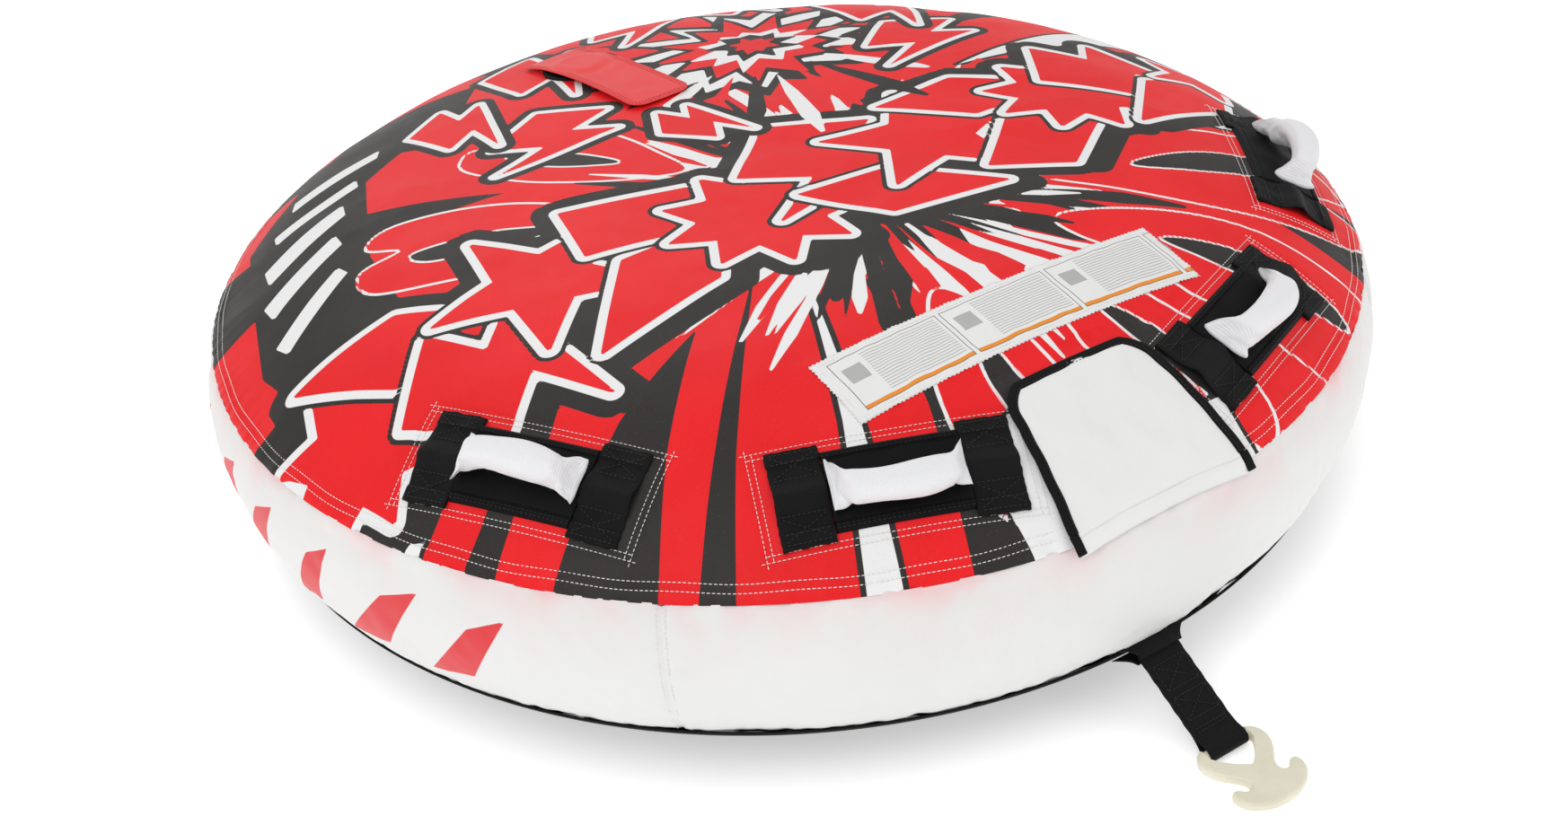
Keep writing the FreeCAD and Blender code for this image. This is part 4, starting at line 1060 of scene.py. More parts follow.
def revolve(name, radii, heights, count, radius):
    """A surface of revolution with holes of the given radius in its top, at the ports."""
    turn = circle(count)
    r, a = np.meshgrid(np.asarray(radii, float), turn, indexing="ij")
    z = np.repeat(np.asarray(heights, float)[:, None], count, 1)
    points = turned(r, z, a)
    low = (points[:-1, :, 2] + points[1:, :, 2]) < 0.3
    mask = away_from_ports(0.5 * (points[:-1] + points[1:]), radius) | low
    obj = new_object(name, points, grid_faces(len(radii), count, True, mask),
                     np.stack([a * 0.6, np.repeat(np.cumsum(np.hypot(np.gradient(radii),
                                                                     np.gradient(heights)))[:, None],
                                                  count, 1)], -1))
    return fix_normals(obj)


def make_bladders():
    inset = 0.0052
    r_top = np.linspace(0.490, 0.672, 50)
    arcs = np.linspace(SEAM_ARC - 0.03, 0.0, 50)
    side_r, side_z = side_xz(arcs, -inset)
    bulge = np.linspace(0, math.pi, 24)[1:-1]
    inner_r = 0.490 - 0.035 * np.sin(bulge)
    inner_z = inset + 0.5 * (deck_z(0.49) - 2 * inset) * (1 - np.cos(bulge))
    radii = np.concatenate([r_top, side_r, inner_r, [0.490]])
    heights = np.concatenate([deck_z(r_top) - inset, side_z, inner_z, [deck_z(0.490) - inset]])
    ring = revolve("ring_bladder", radii, heights, 400, BLADDER_HOLE_R)
    r_top = np.linspace(0.02, 0.430, 90)
    bulge = np.linspace(0, math.pi, 20)[1:]
    side_r = 0.430 + 0.020 * np.sin(bulge)
    top_z = deck_z(0.430) - inset
    side_z = 0.5 * (top_z + inset) + 0.5 * (top_z - inset) * np.cos(bulge)
    radii = np.concatenate([r_top, side_r, np.linspace(0.42, 0.02, 12)])
    heights = np.concatenate([deck_z(r_top) - inset, side_z, np.full(12, inset)])
    middle = revolve("deck_bladder", radii, heights, 300, BLADDER_HOLE_R)
    for obj, node in ((ring, "ring_chamber"), (middle, "deck_chamber")):
        fit(obj, "pvc", "pvc", "cover", node)


def make_ports():
    for name, (r, azimuth) in zip(("main", "deck"), PORTS):
        plane = Plane(r, azimuth, False)
        turn = circle(96)
        x, y = PORT_TAPE_R * np.cos(turn), PORT_TAPE_R * np.sin(turn)
        path = plane.lift(x, y, 0.0004 + 0 * x)
        up = plane.away(96)
        out = unit(path - plane.origin)
        ring = tube("port_tape_" + name, path, out, up, 0.0095, 0.0026, power=0.6, closed=True)
        fit(ring, "tape", "binding", "cover", "port_bindings")
        row = (plane.lift(PORT_THREAD_R * np.cos(turn), PORT_THREAD_R * np.sin(turn), 0.0016 + 0 * x), up)
        sew("port_stitching_" + name, [row], width=0.0007)


# ---------------------------------------------------------------- label and flaps


def make_label():
    plane = Plane(LABEL_R, 0.0, True)
    step = 0.0025
    xs = np.linspace(-LABEL_HALF_W, LABEL_HALF_W, int(2 * LABEL_HALF_W / step) + 1)
    ys = np.linspace(-LABEL_HALF_L, LABEL_HALF_L, int(2 * LABEL_HALF_L / step) + 1)
    x, y = np.meshgrid(xs, ys)
    tooth = np.where(np.arange(len(xs)) % 2 == 0, 0.0011, -0.0005)
    y[0] -= tooth
    y[-1] += tooth
    tooth = np.where(np.arange(len(ys)) % 2 == 0, 0.0011, -0.0005)
    x[:, 0] -= tooth
    x[:, -1] += tooth
    flat = flat_grid(x, y)
    edge = np.minimum(LABEL_HALF_W - np.abs(x), LABEL_HALF_L - np.abs(y))
    h = 0.0006 + 0.0009 * np.clip(waves(flat, 0.035, 61) + 0.3, 0, 1.5) * smoothstep(-0.001, 0.006, edge)
    h += 0.0012 * np.clip(waves(flat, 0.02, 62), 0, 1.5) * np.exp(-np.maximum(edge, 0) / 0.004)
    label = new_object("label_cloth", plane.lift(x, y, h), grid_faces(len(ys), len(xs)),
                       np.stack([x, y], -1))
    fix_up(label)
    solidify(label, 0.0004)
    fit(label, "label", "label", "cover", "label")
    w, l = LABEL_HALF_W - 0.0055, LABEL_HALF_L - 0.0055
    rows = [on_plane(plane, [(-w, -l), (w, -l), (w, l), (-w, l), (-w, -l)], 0.0011)]
    sew("label_stitching", rows, "thread", step=0.0042, length=0.0030, width=0.0006)


def fix_up(obj):
    mesh = obj.data
    if mesh.polygons[len(mesh.polygons) // 2].normal.z < 0:
        mesh.flip_normals()
    return obj


def flap_width(distance, length, half_fold, half_end, corner):
    """Half width at a distance from the fold, with rounded free corners."""
    half = half_fold + (half_end - half_fold) * distance / length
    into = np.clip((distance - (length - corner)) / corner, 0, 1)
    return half - corner * (1.0 - np.sqrt(np.maximum(1.0 - into**2, 0.0)))


def flap_height(x, y, share, length, puff, wrinkle, seed):
    """Height of the flap's upper face: full in the middle, held down at its edges."""
    t = np.clip(y / length, 0, 1)
    full = (1.0 - np.abs(share) ** 2.6).clip(0, 1) * np.sin(math.pi * t).clip(0, 1) ** 0.7
    p = flat_grid(x, y)
    return puff * full + wrinkle * np.clip(waves(p * np.array([1.0, 0.7, 1.0]), 0.05, seed), -0.2,
                                           1.4) * full**0.5


def make_main_flap():
    plane = Plane(*MAIN_FOLD, True)
    length, corner = MAIN_FLAP["length"], MAIN_FLAP["corner"]
    ys = np.concatenate([np.linspace(-0.0008, length - corner, 46, endpoint=False),
                         length - corner * (1 - np.sin(np.linspace(0, 0.5 * math.pi, 22)))])
    s = np.linspace(-1, 1, 77)
    inset = 0.006
    half = flap_width(ys, **MAIN_FLAP) - inset
    x = s[None] * half[:, None]
    y = np.repeat(np.minimum(ys, length - inset)[:, None], 77, 1)
    h = FLAP_H + 0.0007 + flap_height(x, y, s[None] + 0 * x, length, 0.0050, 0.0022, 71)
    cloth = new_object("flap_cloth", plane.lift(x, y, h), grid_faces(len(ys), 77), np.stack([x, y], -1))
    fix_up(cloth)
    solidify(cloth, 0.0008)
    fit(cloth, "flap", "side_nylon", "valve_flap", "valve_flap")
    # tape round the three free sides
    inset = 0.0052
    left = [(-(flap_width(d, **MAIN_FLAP) - inset), d) for d in np.linspace(0.003, length - inset, 50)]
    reach = left[-1][0]
    top = [(v, length - inset) for v in np.linspace(reach, -reach, 26)[1:-1]]
    outline = np.array(left + top + [(-a, b) for a, b in reversed(left)])
    wave = 0.0004 * np.sin(np.linspace(0, 60, len(outline)))
    outline[:, 0] += wave * np.sign(outline[:, 0])
    path = plane.lift(outline[:, 0], outline[:, 1], np.full(len(outline), FLAP_H + 0.0013))
    along = unit(np.gradient(path, axis=0))
    r = np.hypot(path[:, 0], path[:, 1])
    slope = deck_slope(r)
    up = np.stack([path[:, 0] / r * np.sin(slope), path[:, 1] / r * np.sin(slope), np.cos(slope)], -1)
    across = unit(np.cross(along, up))
    tape = tube("flap_tape", path, across, up, 0.0105, 0.0030, power=0.55)
    fit(tape, "tape", "binding", "valve_flap", "flap_binding")
    row = (path + across * 0.0032 + up * 0.0016, up)
    sew("flap_stitching", [row], body="valve_flap", step=0.0045, length=0.0032, width=0.0007)
    # the strip that stays sewn to the seam
    xs = np.linspace(-0.1090, 0.1090, 80)
    ys = np.linspace(-0.0112, 0.0004, 7)
    x, y = np.meshgrid(xs, ys)
    p = flat_grid(x, y)
    h = 0.0031 + 0.0003 * waves(p, 0.03, 72) - 0.0030 * smoothstep(-0.0045, -0.0112, y)
    hem = new_object("flap_hem_cloth", plane.lift(x, y, h), grid_faces(7, 80), np.stack([x, y], -1))
    fix_up(hem)
    solidify(hem, 0.0008)
    fit(hem, "flap", "side_nylon", "cover", "flap_hem")
    # the tape's ends, which stay sewn to the seam
    for side, label in ((-1.0, "left"), (1.0, "right")):
        d = np.linspace(-0.0108, 0.0024, 8)
        path = plane.lift(side * (0.107 + 0 * d), d,
                          FLAP_H + 0.0013 - 0.0016 * smoothstep(-0.002, -0.0108, d))
        up = plane.away(8)
        across = np.repeat(plane.x[None], 8, 0)
        end = tube("flap_tape_end_" + label, path, across, up, 0.0105, 0.0028, power=0.55)
        fit(end, "tape", "binding", "cover", "flap_hem")


def make_deck_flap():
    plane = Plane(*DECK_FOLD, True)
    length, half, corner = DECK_FLAP["length"], DECK_FLAP["half_fold"], DECK_FLAP["corner"]

    def curl(x, y):
        """The flap's free edge lifts along one side, and its face is slightly wavy."""
        lifted = 0.0055 * smoothstep(0.2, 1.0, x / half) * np.sin(math.pi * np.clip(y / length, 0,
                                                                                    1)) ** 0.7
        return lifted + 0.0012 * np.clip(waves(flat_grid(x, y), 0.06, 81), 0, 1.5)

    ys = np.concatenate([np.linspace(0, length - corner, 80, endpoint=False),
                         length - corner * (1 - np.sin(np.linspace(0, 0.5 * math.pi, 12)))])
    s = np.linspace(-1, 1, 37)
    w = flap_width(ys, **DECK_FLAP)
    x = s[None] * w[:, None]
    y = np.repeat(ys[:, None], 37, 1)
    bump = 0.0038 * smoothstep(0.046, 0.026, np.hypot(x, y - 0.070))
    h = FLAP_H + 0.0009 + bump + curl(x, y)
    cloth = new_object("deck_flap_cloth", plane.lift(x, y, h), grid_faces(len(ys), 37),
                       np.stack([x, y], -1))
    fix_up(cloth)
    solidify(cloth, 0.0012)
    fit(cloth, "red", "deck_print", "deck_flap", "deck_flap", "deck_flap_hem")
    rows = []
    for inset in (0.0035, 0.0080):
        left = [(-(w_ - inset), min(d, length - inset)) for d, w_ in zip(ys[1:], w[1:])]
        line = np.array(left + [(-a, b) for a, b in reversed(left)])
        path = plane.lift(line[:, 0], line[:, 1], FLAP_H + 0.0010 + curl(line[:, 0], line[:, 1]))
        rows.append((path, plane.away(len(path))))
    sew("deck_flap_stitching", rows, "red_thread", "deck_flap", width=0.0007)


def make_strips():
    """Hook and loop under the two flaps."""
    main = Plane(*MAIN_FOLD, True)
    deck = Plane(*DECK_FOLD, True)
    for name, plane, y, half, body, low, nodes in (
            ("flap_hooks", main, MAIN_FLAP["length"] - HOOK_IN, 0.052, "valve_flap", 0.0015,
             ["flap_hook_strip"]),
            ("deck_flap_hooks", deck, DECK_FLAP["length"] - HOOK_IN, 0.032, "deck_flap", 0.0015,
             ["deck_flap_hook_strip"]),
            ("flap_loops", main, MAIN_FLAP["length"] - HOOK_IN, 0.052, "cover", 0.0002, ["loop_strips"]),
            ("deck_flap_loops", deck, DECK_FLAP["length"] - HOOK_IN, 0.032, "cover", 0.0002,
             ["loop_strips"])):
        xs = np.linspace(-half, half, 30)
        ys = np.linspace(y - 0.008, y + 0.008, 7)
        piece = slab(name, plane, xs, ys, low, low + 0.0010, edge=0.0003)
        fit(piece, "hook", "hook_loop", body, *nodes)


# ---------------------------------------------------------------- handles


def strap_height(y):
    """Height of a strap's upper face along its length, over the rolled end of the grip."""
    hump = 0.0062 * np.exp(-((y / 0.0125) ** 2)) + 0.0020 * np.exp(-((y / 0.026) ** 2))
    hem = 0.0016 * smoothstep(0.033, 0.036, np.abs(y))
    return 0.0030 + hump + hem


def make_strap(name, side, seed):
    plane = PLANES[name]
    rng = np.random.RandomState(seed)
    ys = np.linspace(-STRAP_HALF, STRAP_HALF, 101)
    s = np.linspace(0, 1, 22)
    x0, x1 = (STRAP_INNER, STRAP_OUTER) if side > 0 else (-STRAP_OUTER, -STRAP_INNER)
    x, y = np.meshgrid(x0 + (x1 - x0) * s, ys)
    fray = 0.0005 * waves(np.stack([y * 3, x * 0, 0 * x], -1), 0.03, seed)
    x = x + fray * (2 * s[None] - 1)
    skew = 0.0018 * rng.uniform(-1, 1) * (y / STRAP_HALF)
    x = x + skew
    p = flat_grid(x, y)
    top = strap_height(y) + 0.0005 * waves(p, 0.03, seed + 1)
    edge_fall = 0.0007 * (np.abs(2 * s[None] - 1) > 0.97)
    y = y + 0.0006 * waves(p, 0.01, seed + 3) * (np.abs(ys)[:, None] > 0.0485)
    upper = plane.lift(x, y, top - edge_fall)
    thick = 0.0024 + 0.0018 * smoothstep(0.033, 0.036, np.abs(y))
    lower = plane.lift(x, y, np.maximum(top - thick, 0.0002))
    letter = "b" if side > 0 else "a"
    strap = closed_layer(f"strap_cloth_{name}_{letter}", upper, lower, x, y)
    m = strap.modifiers.new("soft", "BEVEL")
    m.width = 0.0005
    m.segments = 2
    m.limit_method = "ANGLE"
    m.angle_limit = math.radians(50)
    apply(strap)
    fit(strap, "webbing", "webbing", "cover", f"strap_{name}_{letter}")
    rows = []
    inner, outer = x0 + 0.004, x1 - 0.004
    for level in (-0.046, -0.036, -0.0185, 0.0185, 0.036, 0.046):
        t = np.linspace(inner, outer, 12)
        rows.append((plane.lift(t, level + 0 * t, strap_height(level + 0 * t) + 0.0002),
                     plane.away(12)))
    for a, b in (((inner, -0.044), (outer, -0.020)), ((outer, -0.044), (inner, -0.020)),
                 ((inner, 0.044), (outer, 0.020)), ((outer, 0.044), (inner, 0.020))):
        t = np.linspace(0, 1, 16)
        xs, yy = a[0] + (b[0] - a[0]) * t, a[1] + (b[1] - a[1]) * t
        rows.append((plane.lift(xs, yy, strap_height(yy) + 0.0002), plane.away(16)))
    return rows


def make_guard(name):
    plane = PLANES[name]
    half_x, half_y = STRAP_INNER - 0.0006, 0.042
    xs = np.linspace(-half_x, half_x, 60)
    ys = np.concatenate([np.linspace(-half_y, -0.030, 14, endpoint=False),
                         np.linspace(-0.030, 0.030, 24, endpoint=False),
                         np.linspace(0.030, half_y, 15)])
    x, y = np.meshgrid(xs, ys)
    a = np.abs(y)
    bound = smoothstep(0.0325, 0.0338, a)
    roll = np.sqrt(np.clip(1 - np.clip((a - 0.0375) / 0.0045, 0, 1) ** 2, 0, 1))
    p = flat_grid(x, y)
    high = 0.0004 + (0.0046 + 0.0004 * np.cos(y * 30)) * (1 - bound) + bound * 0.0056 * roll
    high -= 0.0016 * np.exp(-((a - 0.0328) / 0.0012) ** 2)
    high += 0.0005 * waves(p, 0.05, 90 + len(name)) * (1 - bound)
    guard = slab("guard_pad_" + name, plane, xs, ys, 0.0002, high, edge=0.0001)
    fit(guard, "guard", "guard", "cover", "guard_" + name)
    rows = []
    for level in (-0.0355, -0.0390, 0.0355, 0.0390):
        t = np.linspace(-half_x, half_x, 40)
        rows.append((plane.lift(t, level + 0 * t, 0.0056 + 0 * t), plane.away(40)))
    return rows


GRIP_HALF_W, HEM_HALF_W, GRIP_HALF_H, HEM_HALF_H, GRIP_RISE = 0.0160, 0.0255, 0.0165, 0.0036, 0.030


def sleeve_grid(lean, across=40, along=66):
    """Local points of the grip's knit sleeve: a stuffed tube whose flat hems flare at the straps."""
    half = STRAP_INNER - 0.0012
    u = np.linspace(-1, 1, along)
    u = np.sign(u) * np.abs(u) ** 0.86
    turn = circle(across)
    rise = GRIP_RISE * (1 - u**2) ** 0.8
    end = smoothstep(0.72, 1.0, np.abs(u))
    wide = GRIP_HALF_W + (HEM_HALF_W - GRIP_HALF_W) * end + 0.0012 * np.sin(5 * u)
    high = GRIP_HALF_H + (HEM_HALF_H - GRIP_HALF_H) * smoothstep(0.70, 0.97, np.abs(u))
    swing = math.radians(lean) * smoothstep(1.0, 0.78, np.abs(u))
    c, s = np.cos(turn), np.sin(turn)
    power = 1.0 - 0.15 * end
    cy = np.sign(c)[None] * np.abs(c)[None] ** power[:, None]
    y = wide[:, None] * cy
    z = high[:, None] * s[None] + rise[:, None]
    # the flat hem dips in its middle and its two corners point out along the strap
    hem = end[:, None] * (0.004 * np.abs(c)[None] ** 2 - 0.002)
    x = half * u[:, None] + np.sign(u)[:, None] * hem
    x = np.clip(x, -half, half)
    z = z + 0.0022 * end[:, None] * np.abs(c)[None] ** 3
    sw = swing[:, None]
    y, z = y * np.cos(sw) - z * np.sin(sw), y * np.sin(sw) + z * np.cos(sw)
    z = z + TAIL_H
    around = turn * GRIP_HALF_H
    uv = np.stack(np.broadcast_arrays(around[None], half * u[:, None]), -1)
    return np.stack([x + 0 * y, y, z], -1), uv


def simulate(obj, pinned, pressure, frames, cap, grow):
    """Lets the cloth fill and crease, and keeps each point within cap of where it was."""
    before = np.array([v.co for v in obj.data.vertices])
    group = obj.vertex_groups.new(name="pin")
    for i, w in enumerate(pinned):
        if w > 0:
            group.add([i], float(w), "REPLACE")
    cloth = obj.modifiers.new("cloth", "CLOTH")
    s = cloth.settings
    s.quality = 6
    s.mass = 0.15
    s.tension_stiffness = 12
    s.compression_stiffness = 12
    s.shear_stiffness = 4
    s.bending_stiffness = 0.25
    s.use_pressure = True
    s.uniform_pressure_force = pressure
    s.shrink_min = -grow
    s.vertex_group_mass = "pin"
    s.effector_weights.gravity = 0
    cloth.collision_settings.use_self_collision = False
    cloth.point_cache.frame_start = 1
    cloth.point_cache.frame_end = frames
    scene = bpy.context.scene
    for f in range(1, frames + 1):
        scene.frame_set(f)
    dg = bpy.context.evaluated_depsgraph_get()
    mesh = bpy.data.meshes.new_from_object(obj.evaluated_get(dg))
    after = np.array([v.co for v in mesh.vertices])
    obj.modifiers.remove(cloth)
    bpy.data.meshes.remove(mesh)
    move = after - before
    size = np.linalg.norm(move, axis=1)
    move *= (np.minimum(size, cap) / np.maximum(size, 1e-9))[:, None]
    obj.data.vertices.foreach_set("co", (before + move).astype(np.float32).ravel())
    obj.data.update()
    obj.vertex_groups.clear()
    scene.frame_set(1)


def make_sleeve(name, lean, seed):
    plane = PLANES[name]
    local, uv = sleeve_grid(lean)
    rows, cols = local.shape[:2]
    p = local
    u = np.linspace(-1, 1, rows)
    end = smoothstep(0.45, 0.8, np.abs(u)) * smoothstep(1.0, 0.93, np.abs(u))
    crease = 0.0011 * waves(p * np.array([0.55, 1.0, 1.0]), 0.018, seed) * end[:, None]
    middle = np.stack([p[..., 0], p[..., 1].mean(1, keepdims=True) + 0 * p[..., 1],
                       p[..., 2].mean(1, keepdims=True) + 0 * p[..., 2]], -1)
    out = p - middle
    out /= np.maximum(np.linalg.norm(out, axis=-1, keepdims=True), 1e-6)
    local = local + out * crease[..., None]
    faces = grid_faces(rows, cols, around=True)
    faces.append(tuple(reversed(range(cols))))
    faces.append(tuple((rows - 1) * cols + j for j in range(cols)))
    tube_obj = new_object("sleeve_knit_" + name, plane.flat(local[..., 0], local[..., 1], local[..., 2]),
                          faces, uv)
    fix_normals(tube_obj)
    pinned = np.repeat(smoothstep(0.93, 0.985, np.abs(u)), cols)
    simulate(tube_obj, pinned, pressure=2.2, frames=16, cap=0.0045, grow=0.035)
    m = tube_obj.modifiers.new("smooth", "SUBSURF")
    m.levels = m.render_levels = 1
    apply(tube_obj)
    dress(tube_obj, "sleeve")
    # the sleeve is cut into a left and a right half
    left = tube_obj.copy()
    left.data = tube_obj.data.copy()
    bpy.context.scene.collection.objects.link(left)
    for obj, sign, label in ((left, -1.0, "left"), (tube_obj, 1.0, "right")):
        bm = bmesh.new()
        bm.from_mesh(obj.data)
        bmesh.ops.bisect_plane(bm, geom=bm.verts[:] + bm.edges[:] + bm.faces[:], dist=1e-6,
                               plane_co=Vector(plane.origin), plane_no=Vector(plane.x * sign),
                               clear_inner=True)
        bm.to_mesh(obj.data)
        bm.free()
        obj.name = f"sleeve_{label}_half_{name}"
        hem = plane.flat(np.array(sign * 0.0640), np.array(0.0), np.array(TAIL_H))
        inner = plane.flat(np.array(sign * 0.0420), np.array(0.0), np.array(TAIL_H))
        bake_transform(obj)
        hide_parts("sleeve_" + name, "core_" + name)


def make_handles():
    rows, guard_rows = [], []
    for i, (name, _, lean) in enumerate(HANDLES):
        for side in (-1, 1):
            rows += make_strap(name, side, 100 + 10 * i + side)
        guard_rows += make_guard(name)
        make_sleeve(name, lean, 200 + i)
    sew("strap_stitching", rows, step=0.0046, length=0.0034, width=0.0009)
    sew("guard_stitching", guard_rows, step=0.0046, length=0.0030, width=0.0006)


# ---------------------------------------------------------------- tow point


def tow_frame():
    along = BAR_AXIS - TOW_AXIS
    length = along.length
    along = np.array(along / length)
    side = np.array([1.0, 0.0, 0.0])
    up = np.cross(side, along)
    if up[2] < 0:
        up = -up
    return np.array(TOW_AXIS), side, along, up, length


def make_tow():
    origin, side, along, up, length = tow_frame()
    # one webbing end to end: round the root, along the top, round the bar and back underneath
    bar_r, root_r, t = 0.0066, 0.0020, 0.0023
    top = [(d, 0.00135 + 0.0053 * smoothstep(length - 0.020, length - 0.003, d))
           for d in np.linspace(0.0, length - 0.003, 44)]
    turn = np.linspace(0.40 * math.pi, -0.40 * math.pi, 15)
    loop = [(length + bar_r * math.cos(a), bar_r * math.sin(a)) for a in turn]
    low = [(d, -h) for d, h in reversed(top)]
    root = [(-root_r * math.cos(a), root_r * math.sin(a))
            for a in np.linspace(-0.35 * math.pi, 0.35 * math.pi, 7)]
    line = np.array(top + loop + low + root)
    path = origin + np.multiply.outer(line[:, 0], along) + np.multiply.outer(line[:, 1], up)
    tangent = unit(np.roll(path, -1, 0) - np.roll(path, 1, 0))
    across = np.repeat(side[None], len(path), 0)
    away = np.cross(tangent, across)
    narrow = 0.0495 + 0.0006 * np.sin(np.arange(len(path)) * 0.9)
    strap = tube("tow_webbing", path, across, away, narrow, t, power=0.28, sides=28, closed=True)
    fit(strap, "webbing", "webbing", "tow_strap", "tow_strap")
    rows = []

    def row(a, b, sign=1.0):
        k = np.linspace(0, 1, 14)
        d = a[1] + (b[1] - a[1]) * k
        x = a[0] + (b[0] - a[0]) * k
        p = (origin + np.multiply.outer(x, side) + np.multiply.outer(d, along)
             + sign * 0.0027 * up[None])
        rows.append((p, np.repeat(sign * up[None], 14, 0)))

    for sign in (1.0, -1.0):
        for near, far in ((0.014, 0.042), (0.050, 0.076)):
            corners = [(-0.020, near), (0.020, near), (0.020, far), (-0.020, far)]
            for a, b in zip(corners, corners[1:] + corners[:1]):
                row(a, b, sign)
            row(corners[0], corners[2], sign)
            row(corners[1], corners[3], sign)
        row((-0.020, 0.086), (0.020, 0.086), sign)
        row((-0.020, 0.090), (0.020, 0.090), sign)
    sew("tow_stitching", rows, body="tow_strap", step=0.0044, length=0.0033, width=0.0008)
    make_tab()


def make_tab():
    """The folded tab on the bottom seam. It pinches towards the strap's root like a bow tie."""
    origin = np.array(TOW_AXIS)
    arc = BINDING_ARC
    base_r, base_z = side_xz(arc, 0.0030)
    base = np.array([0.0, -base_r, base_z])
    out = origin - base
    reach = np.linalg.norm(out)
    out /= reach
    x_dir = np.array([1.0, 0.0, 0.0])
    up = np.cross(x_dir, out)
    up = up if up[2] > 0 else -up
    for sign, name in ((1.0, "upper"), (-1.0, "lower")):
        stations = np.linspace(0.0, 1.0, 18)
        s = np.linspace(-1, 1, 34)
        d = -0.002 + (reach + 0.0048) * stations
        half = 0.0268 + 0.0190 * (1.0 - stations) ** 2.4
        swell = np.sin(math.pi * 0.5 * np.clip(stations * 1.4, 0, 1))
        lift = (0.0092 * (1 - stations) ** 1.5 + 0.0062 * swell
                - 0.0014 * smoothstep(0.80, 1.0, stations))
        x = s[None] * half[:, None]
        ripple = 0.0006 * waves(np.stack([x, 0 * x + d[:, None], 0 * x], -1), 0.02, 301 + int(sign))
        # follow the cover's curve at the root
        curve_in = 0.5 * x**2 / 0.66 * (1 - stations[:, None])
        points = (base + np.multiply.outer(x, x_dir) + (d[:, None, None]) * out
                  + sign * (lift[:, None] + ripple)[..., None] * up)
        points[..., 1] += curve_in
        sheet = new_object(f"tow_tab_{name}", points, grid_faces(18, 34),
                           np.stack([x, 0 * x + d[:, None]], -1))
        solidify(sheet, 0.0022, offset=0.0)
        fix_normals(sheet)
        fit(sheet, "webbing", "webbing", "cover", "tow_tab")


def band_points(arc1, arc2, rows, az1, az2, cols, h):
    arc, a = np.meshgrid(np.linspace(arc1, arc2, rows), np.radians(np.linspace(az1, az2, cols)),
                         indexing="ij")
    r, z = side_xz(arc, h)
    return turned(r, z, a), np.stack([a * 0.62, arc * RING_TUBE_R], -1)


rad = math.radians


def make_patch():
    points, uv = band_points(rad(28), rad(50), 26, -9, 9, 60, 0.0009)
    patch = new_object("tow_patch_cloth", points, grid_faces(26, 60), uv)
    fix_outwards(patch)
    solidify(patch, 0.0007)
    fit(patch, "webbing", "patch", "cover", "tow_patch")
    rows = []
    for arc1, arc2, a1, a2 in ((30, 48, -8, 8), (48, 30, -8, 8), (30, 30, -8, 8), (48, 48, -8, 8),
                               (30, 48, -8, -8), (30, 48, 8, 8)):
        k = np.linspace(0, 1, 40)
        arc, a = np.radians(arc1 + (arc2 - arc1) * k), np.radians(a1 + (a2 - a1) * k)
        rows.append(side_row(arc, a, 0.0012))
    sew("patch_stitching", rows)


def make_zip():
    """Two tapes and two rows of coil teeth."""
    for k, (arc1, arc2) in enumerate(((28.8, 32.94), (33.06, 37.2))):
        points, uv = band_points(rad(arc1), rad(arc2), 8, 120, 240, 320, 0.0010)
        tape = new_object(f"zip_tape_{'ab'[k]}", points, grid_faces(8, 320), uv)
        fix_outwards(tape)
        solidify(tape, 0.0007)
        fit(tape, "tape", "zip_coil", "cover", "zip_tapes")
    points, faces = [], []
    count = 620
    for side in (-1.0, 1.0):
        for i in range(count):
            azimuth = rad(120.2 + 119.6 * (i + (0.25 * side)) / count)
            first = len(points)
            for arc_at, h, half in ((0.0, 0.0016, 0.00042), (0.28, 0.0030, 0.00052),
                                    (0.62, 0.0028, 0.00050), (0.78, 0.0015, 0.00040)):
                arc = rad(33.0) + side * rad(0.75) * arc_at - side * rad(0.02)
                for step in (-1, 1):
                    a = azimuth + step * half / 0.61
                    for drop in (0.0, 0.0007):
                        rr, zz = side_xz(arc, h - drop)
                        points.append((rr * math.sin(a), -rr * math.cos(a), zz))
            for q in range(3):
                b = first + 4 * q
                faces += [(b, b + 4, b + 6, b + 2), (b + 1, b + 3, b + 7, b + 5), (b, b + 1, b + 5, b + 4),
                          (b + 2, b + 6, b + 7, b + 3)]
            faces += [(first, first + 2, first + 3, first + 1),
                      (first + 12, first + 13, first + 15, first + 14)]
    coil = new_object("zip_teeth", points, faces)
    fix_normals(coil)
    fit(coil, "coil", "zip_coil", "cover", "zip_coils")


def make_eyelets():
    """A dark disc inside each drain eyelet, painted shade that stands for the hole."""
    points, faces = [], []
    for azimuth in (-120.0, -60.0, 60.0, 120.0):
        first = len(points)
        a0 = rad(azimuth)
        arc0 = rad(20.0)
        for ring, h in ((0.0053, 0.0008), (0.0046, 0.0004), (0.0, 0.0003)):
            for q in range(20):
                t = 2 * math.pi * q / 20
                arc = arc0 + ring * math.cos(t) / RING_TUBE_R
                r, z = side_xz(arc, h)
                a = a0 + ring * math.sin(t) / r
                points.append((r * math.sin(a), -r * math.cos(a), z))
        for k in range(2):
            for q in range(20):
                b, c = first + 20 * k + q, first + 20 * k + (q + 1) % 20
                faces.append((b, c, c + 20, b + 20))
    holes = new_object("eyelet_hole_shade", points, faces)
    fit(holes, "rubber", None, "cover")


def dress_cad():
    looks = {"tow_connector": "connector", "drain_grommets": "brass", "zip_slider": "zip_metal",
             "zip_pull": "zip_metal"}
    for name in ("main", "deck"):
        for part, look in (("well", "rubber"), ("insert", "plastic"), ("flapper", "rubber"),
                           ("collar", "plastic"), ("cap", "plastic")):
            looks[f"{name}_valve_{part}"] = look
    for node, look in looks.items():
        dress(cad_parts[node], look)


# ---------------------------------------------------------------- room, light and camera


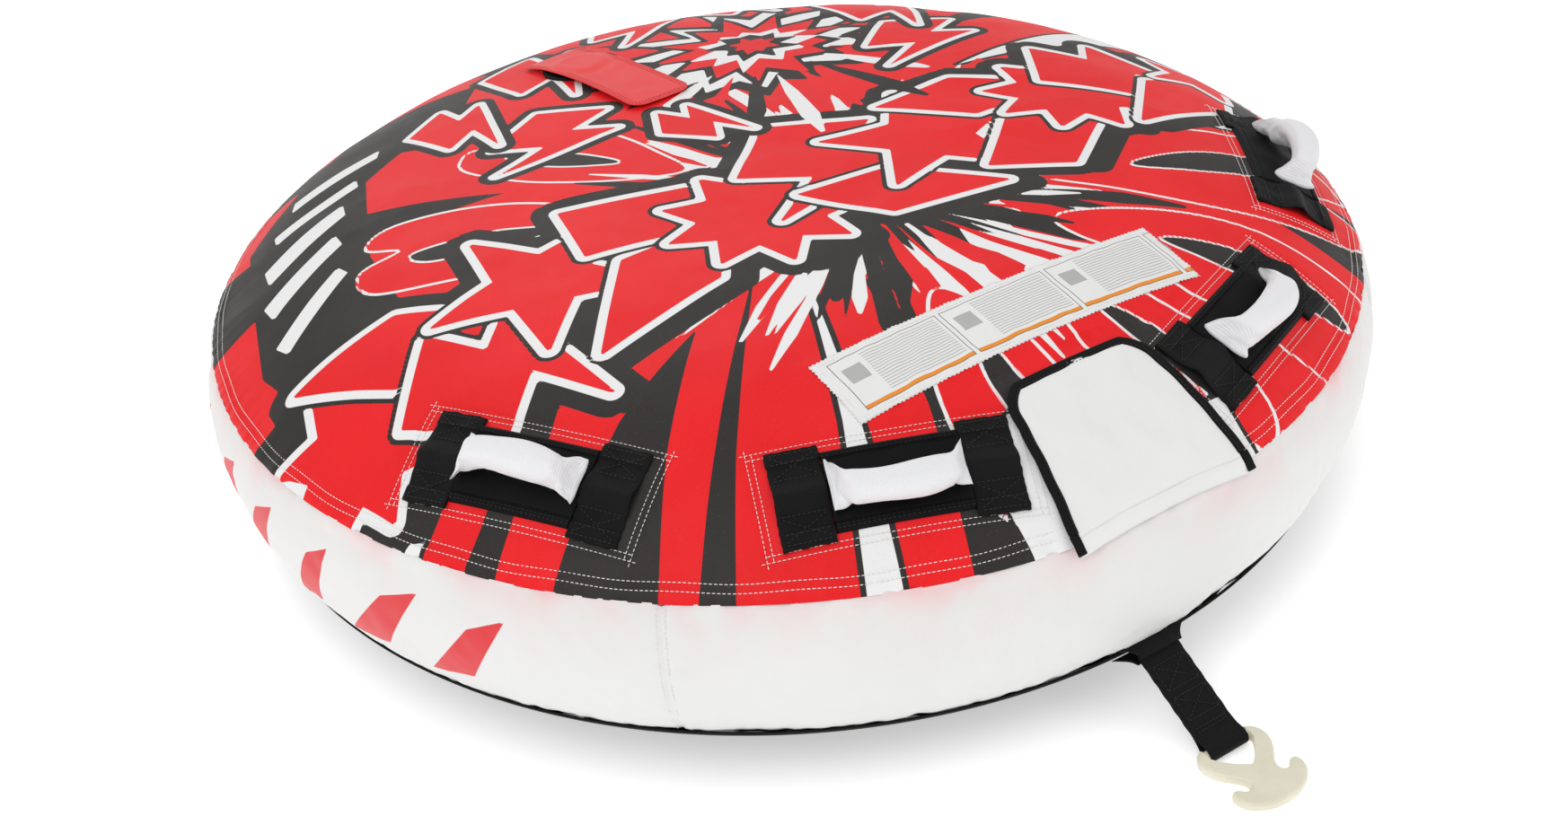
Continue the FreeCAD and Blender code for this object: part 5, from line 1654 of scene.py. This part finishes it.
LIGHTS = (  # name, place, side of the square, watts
    ("key", (-2.2, -1.2, 3.4), 2.6, 46.0), ("fill", (2.6, -2.6, 2.2), 2.4, 18.0),
    ("back", (0.6, 3.2, 2.6), 2.4, 24.0),
)
FLOOR_GLOW, WORLD_LIGHT = 0.42, 0.66


def make_room():
    bpy.ops.mesh.primitive_plane_add(size=40.0, location=(0, 0, -0.0008))
    floor = bpy.context.object
    floor.name = "floor"
    n = Nodes("floor")
    n.set(Base_Color=n.mix(n.noise(1.5, 2.0), (0.93, 0.93, 0.93), (0.95, 0.95, 0.95)), Roughness=0.75,
          Emission_Color=(1.0, 1.0, 1.0, 1.0), Emission_Strength=FLOOR_GLOW)
    floor.data.materials.append(n.material)
    world = bpy.data.worlds.new("studio")
    world.use_nodes = True
    back = world.node_tree.nodes.get("Background") or world.node_tree.nodes.new("ShaderNodeBackground")
    back.inputs[0].default_value = (1.0, 1.0, 1.0, 1.0)
    back.inputs[1].default_value = WORLD_LIGHT
    bpy.context.scene.world = world
    for name, place, size, power in LIGHTS:
        data = bpy.data.lights.new(name, "AREA")
        data.energy = power
        data.size = size
        light = bpy.data.objects.new(name, data)
        light.location = place
        light.rotation_euler = (Vector((0, 0, 0.15)) - Vector(place)).to_track_quat("-Z", "Y").to_euler()
        bpy.context.scene.collection.objects.link(light)
    bpy.context.scene.view_settings.view_transform = "Standard"


def make_camera():
    azimuth, elevation, roll = (math.radians(a) for a in (-30.74, 32.26, -4.66))
    distance = 2.3475
    look = Vector((0.0, 0.0, 0.0926))
    back = Vector((math.sin(azimuth) * math.cos(elevation), -math.cos(azimuth) * math.cos(elevation),
                   math.sin(elevation)))
    right = Vector((0, 0, 1)).cross(back).normalized()
    up = back.cross(right)
    right, up = (right * math.cos(roll) + up * math.sin(roll), up * math.cos(roll) - right * math.sin(roll))
    data = bpy.data.cameras.new("camera")
    data.sensor_width = 36.0
    data.lens = 43.14
    data.shift_x = -0.0043
    data.shift_y = -0.0388
    data.clip_start, data.clip_end = 0.05, 60.0
    camera = bpy.data.objects.new("camera", data)
    turn = Matrix((right, up, back)).transposed().to_4x4()
    camera.matrix_world = Matrix.Translation(look + back * distance) @ turn
    bpy.context.scene.collection.objects.link(camera)
    bpy.context.scene.camera = camera


make_camera()
make_room()
deck = make_deck()
make_bladders()
make_deck_stitching()
make_side()
make_bottom()
make_ports()
make_label()
make_main_flap()
make_deck_flap()
make_strips()
make_handles()
make_tow()
make_patch()
make_zip()
make_eyelets()
dress_cad()
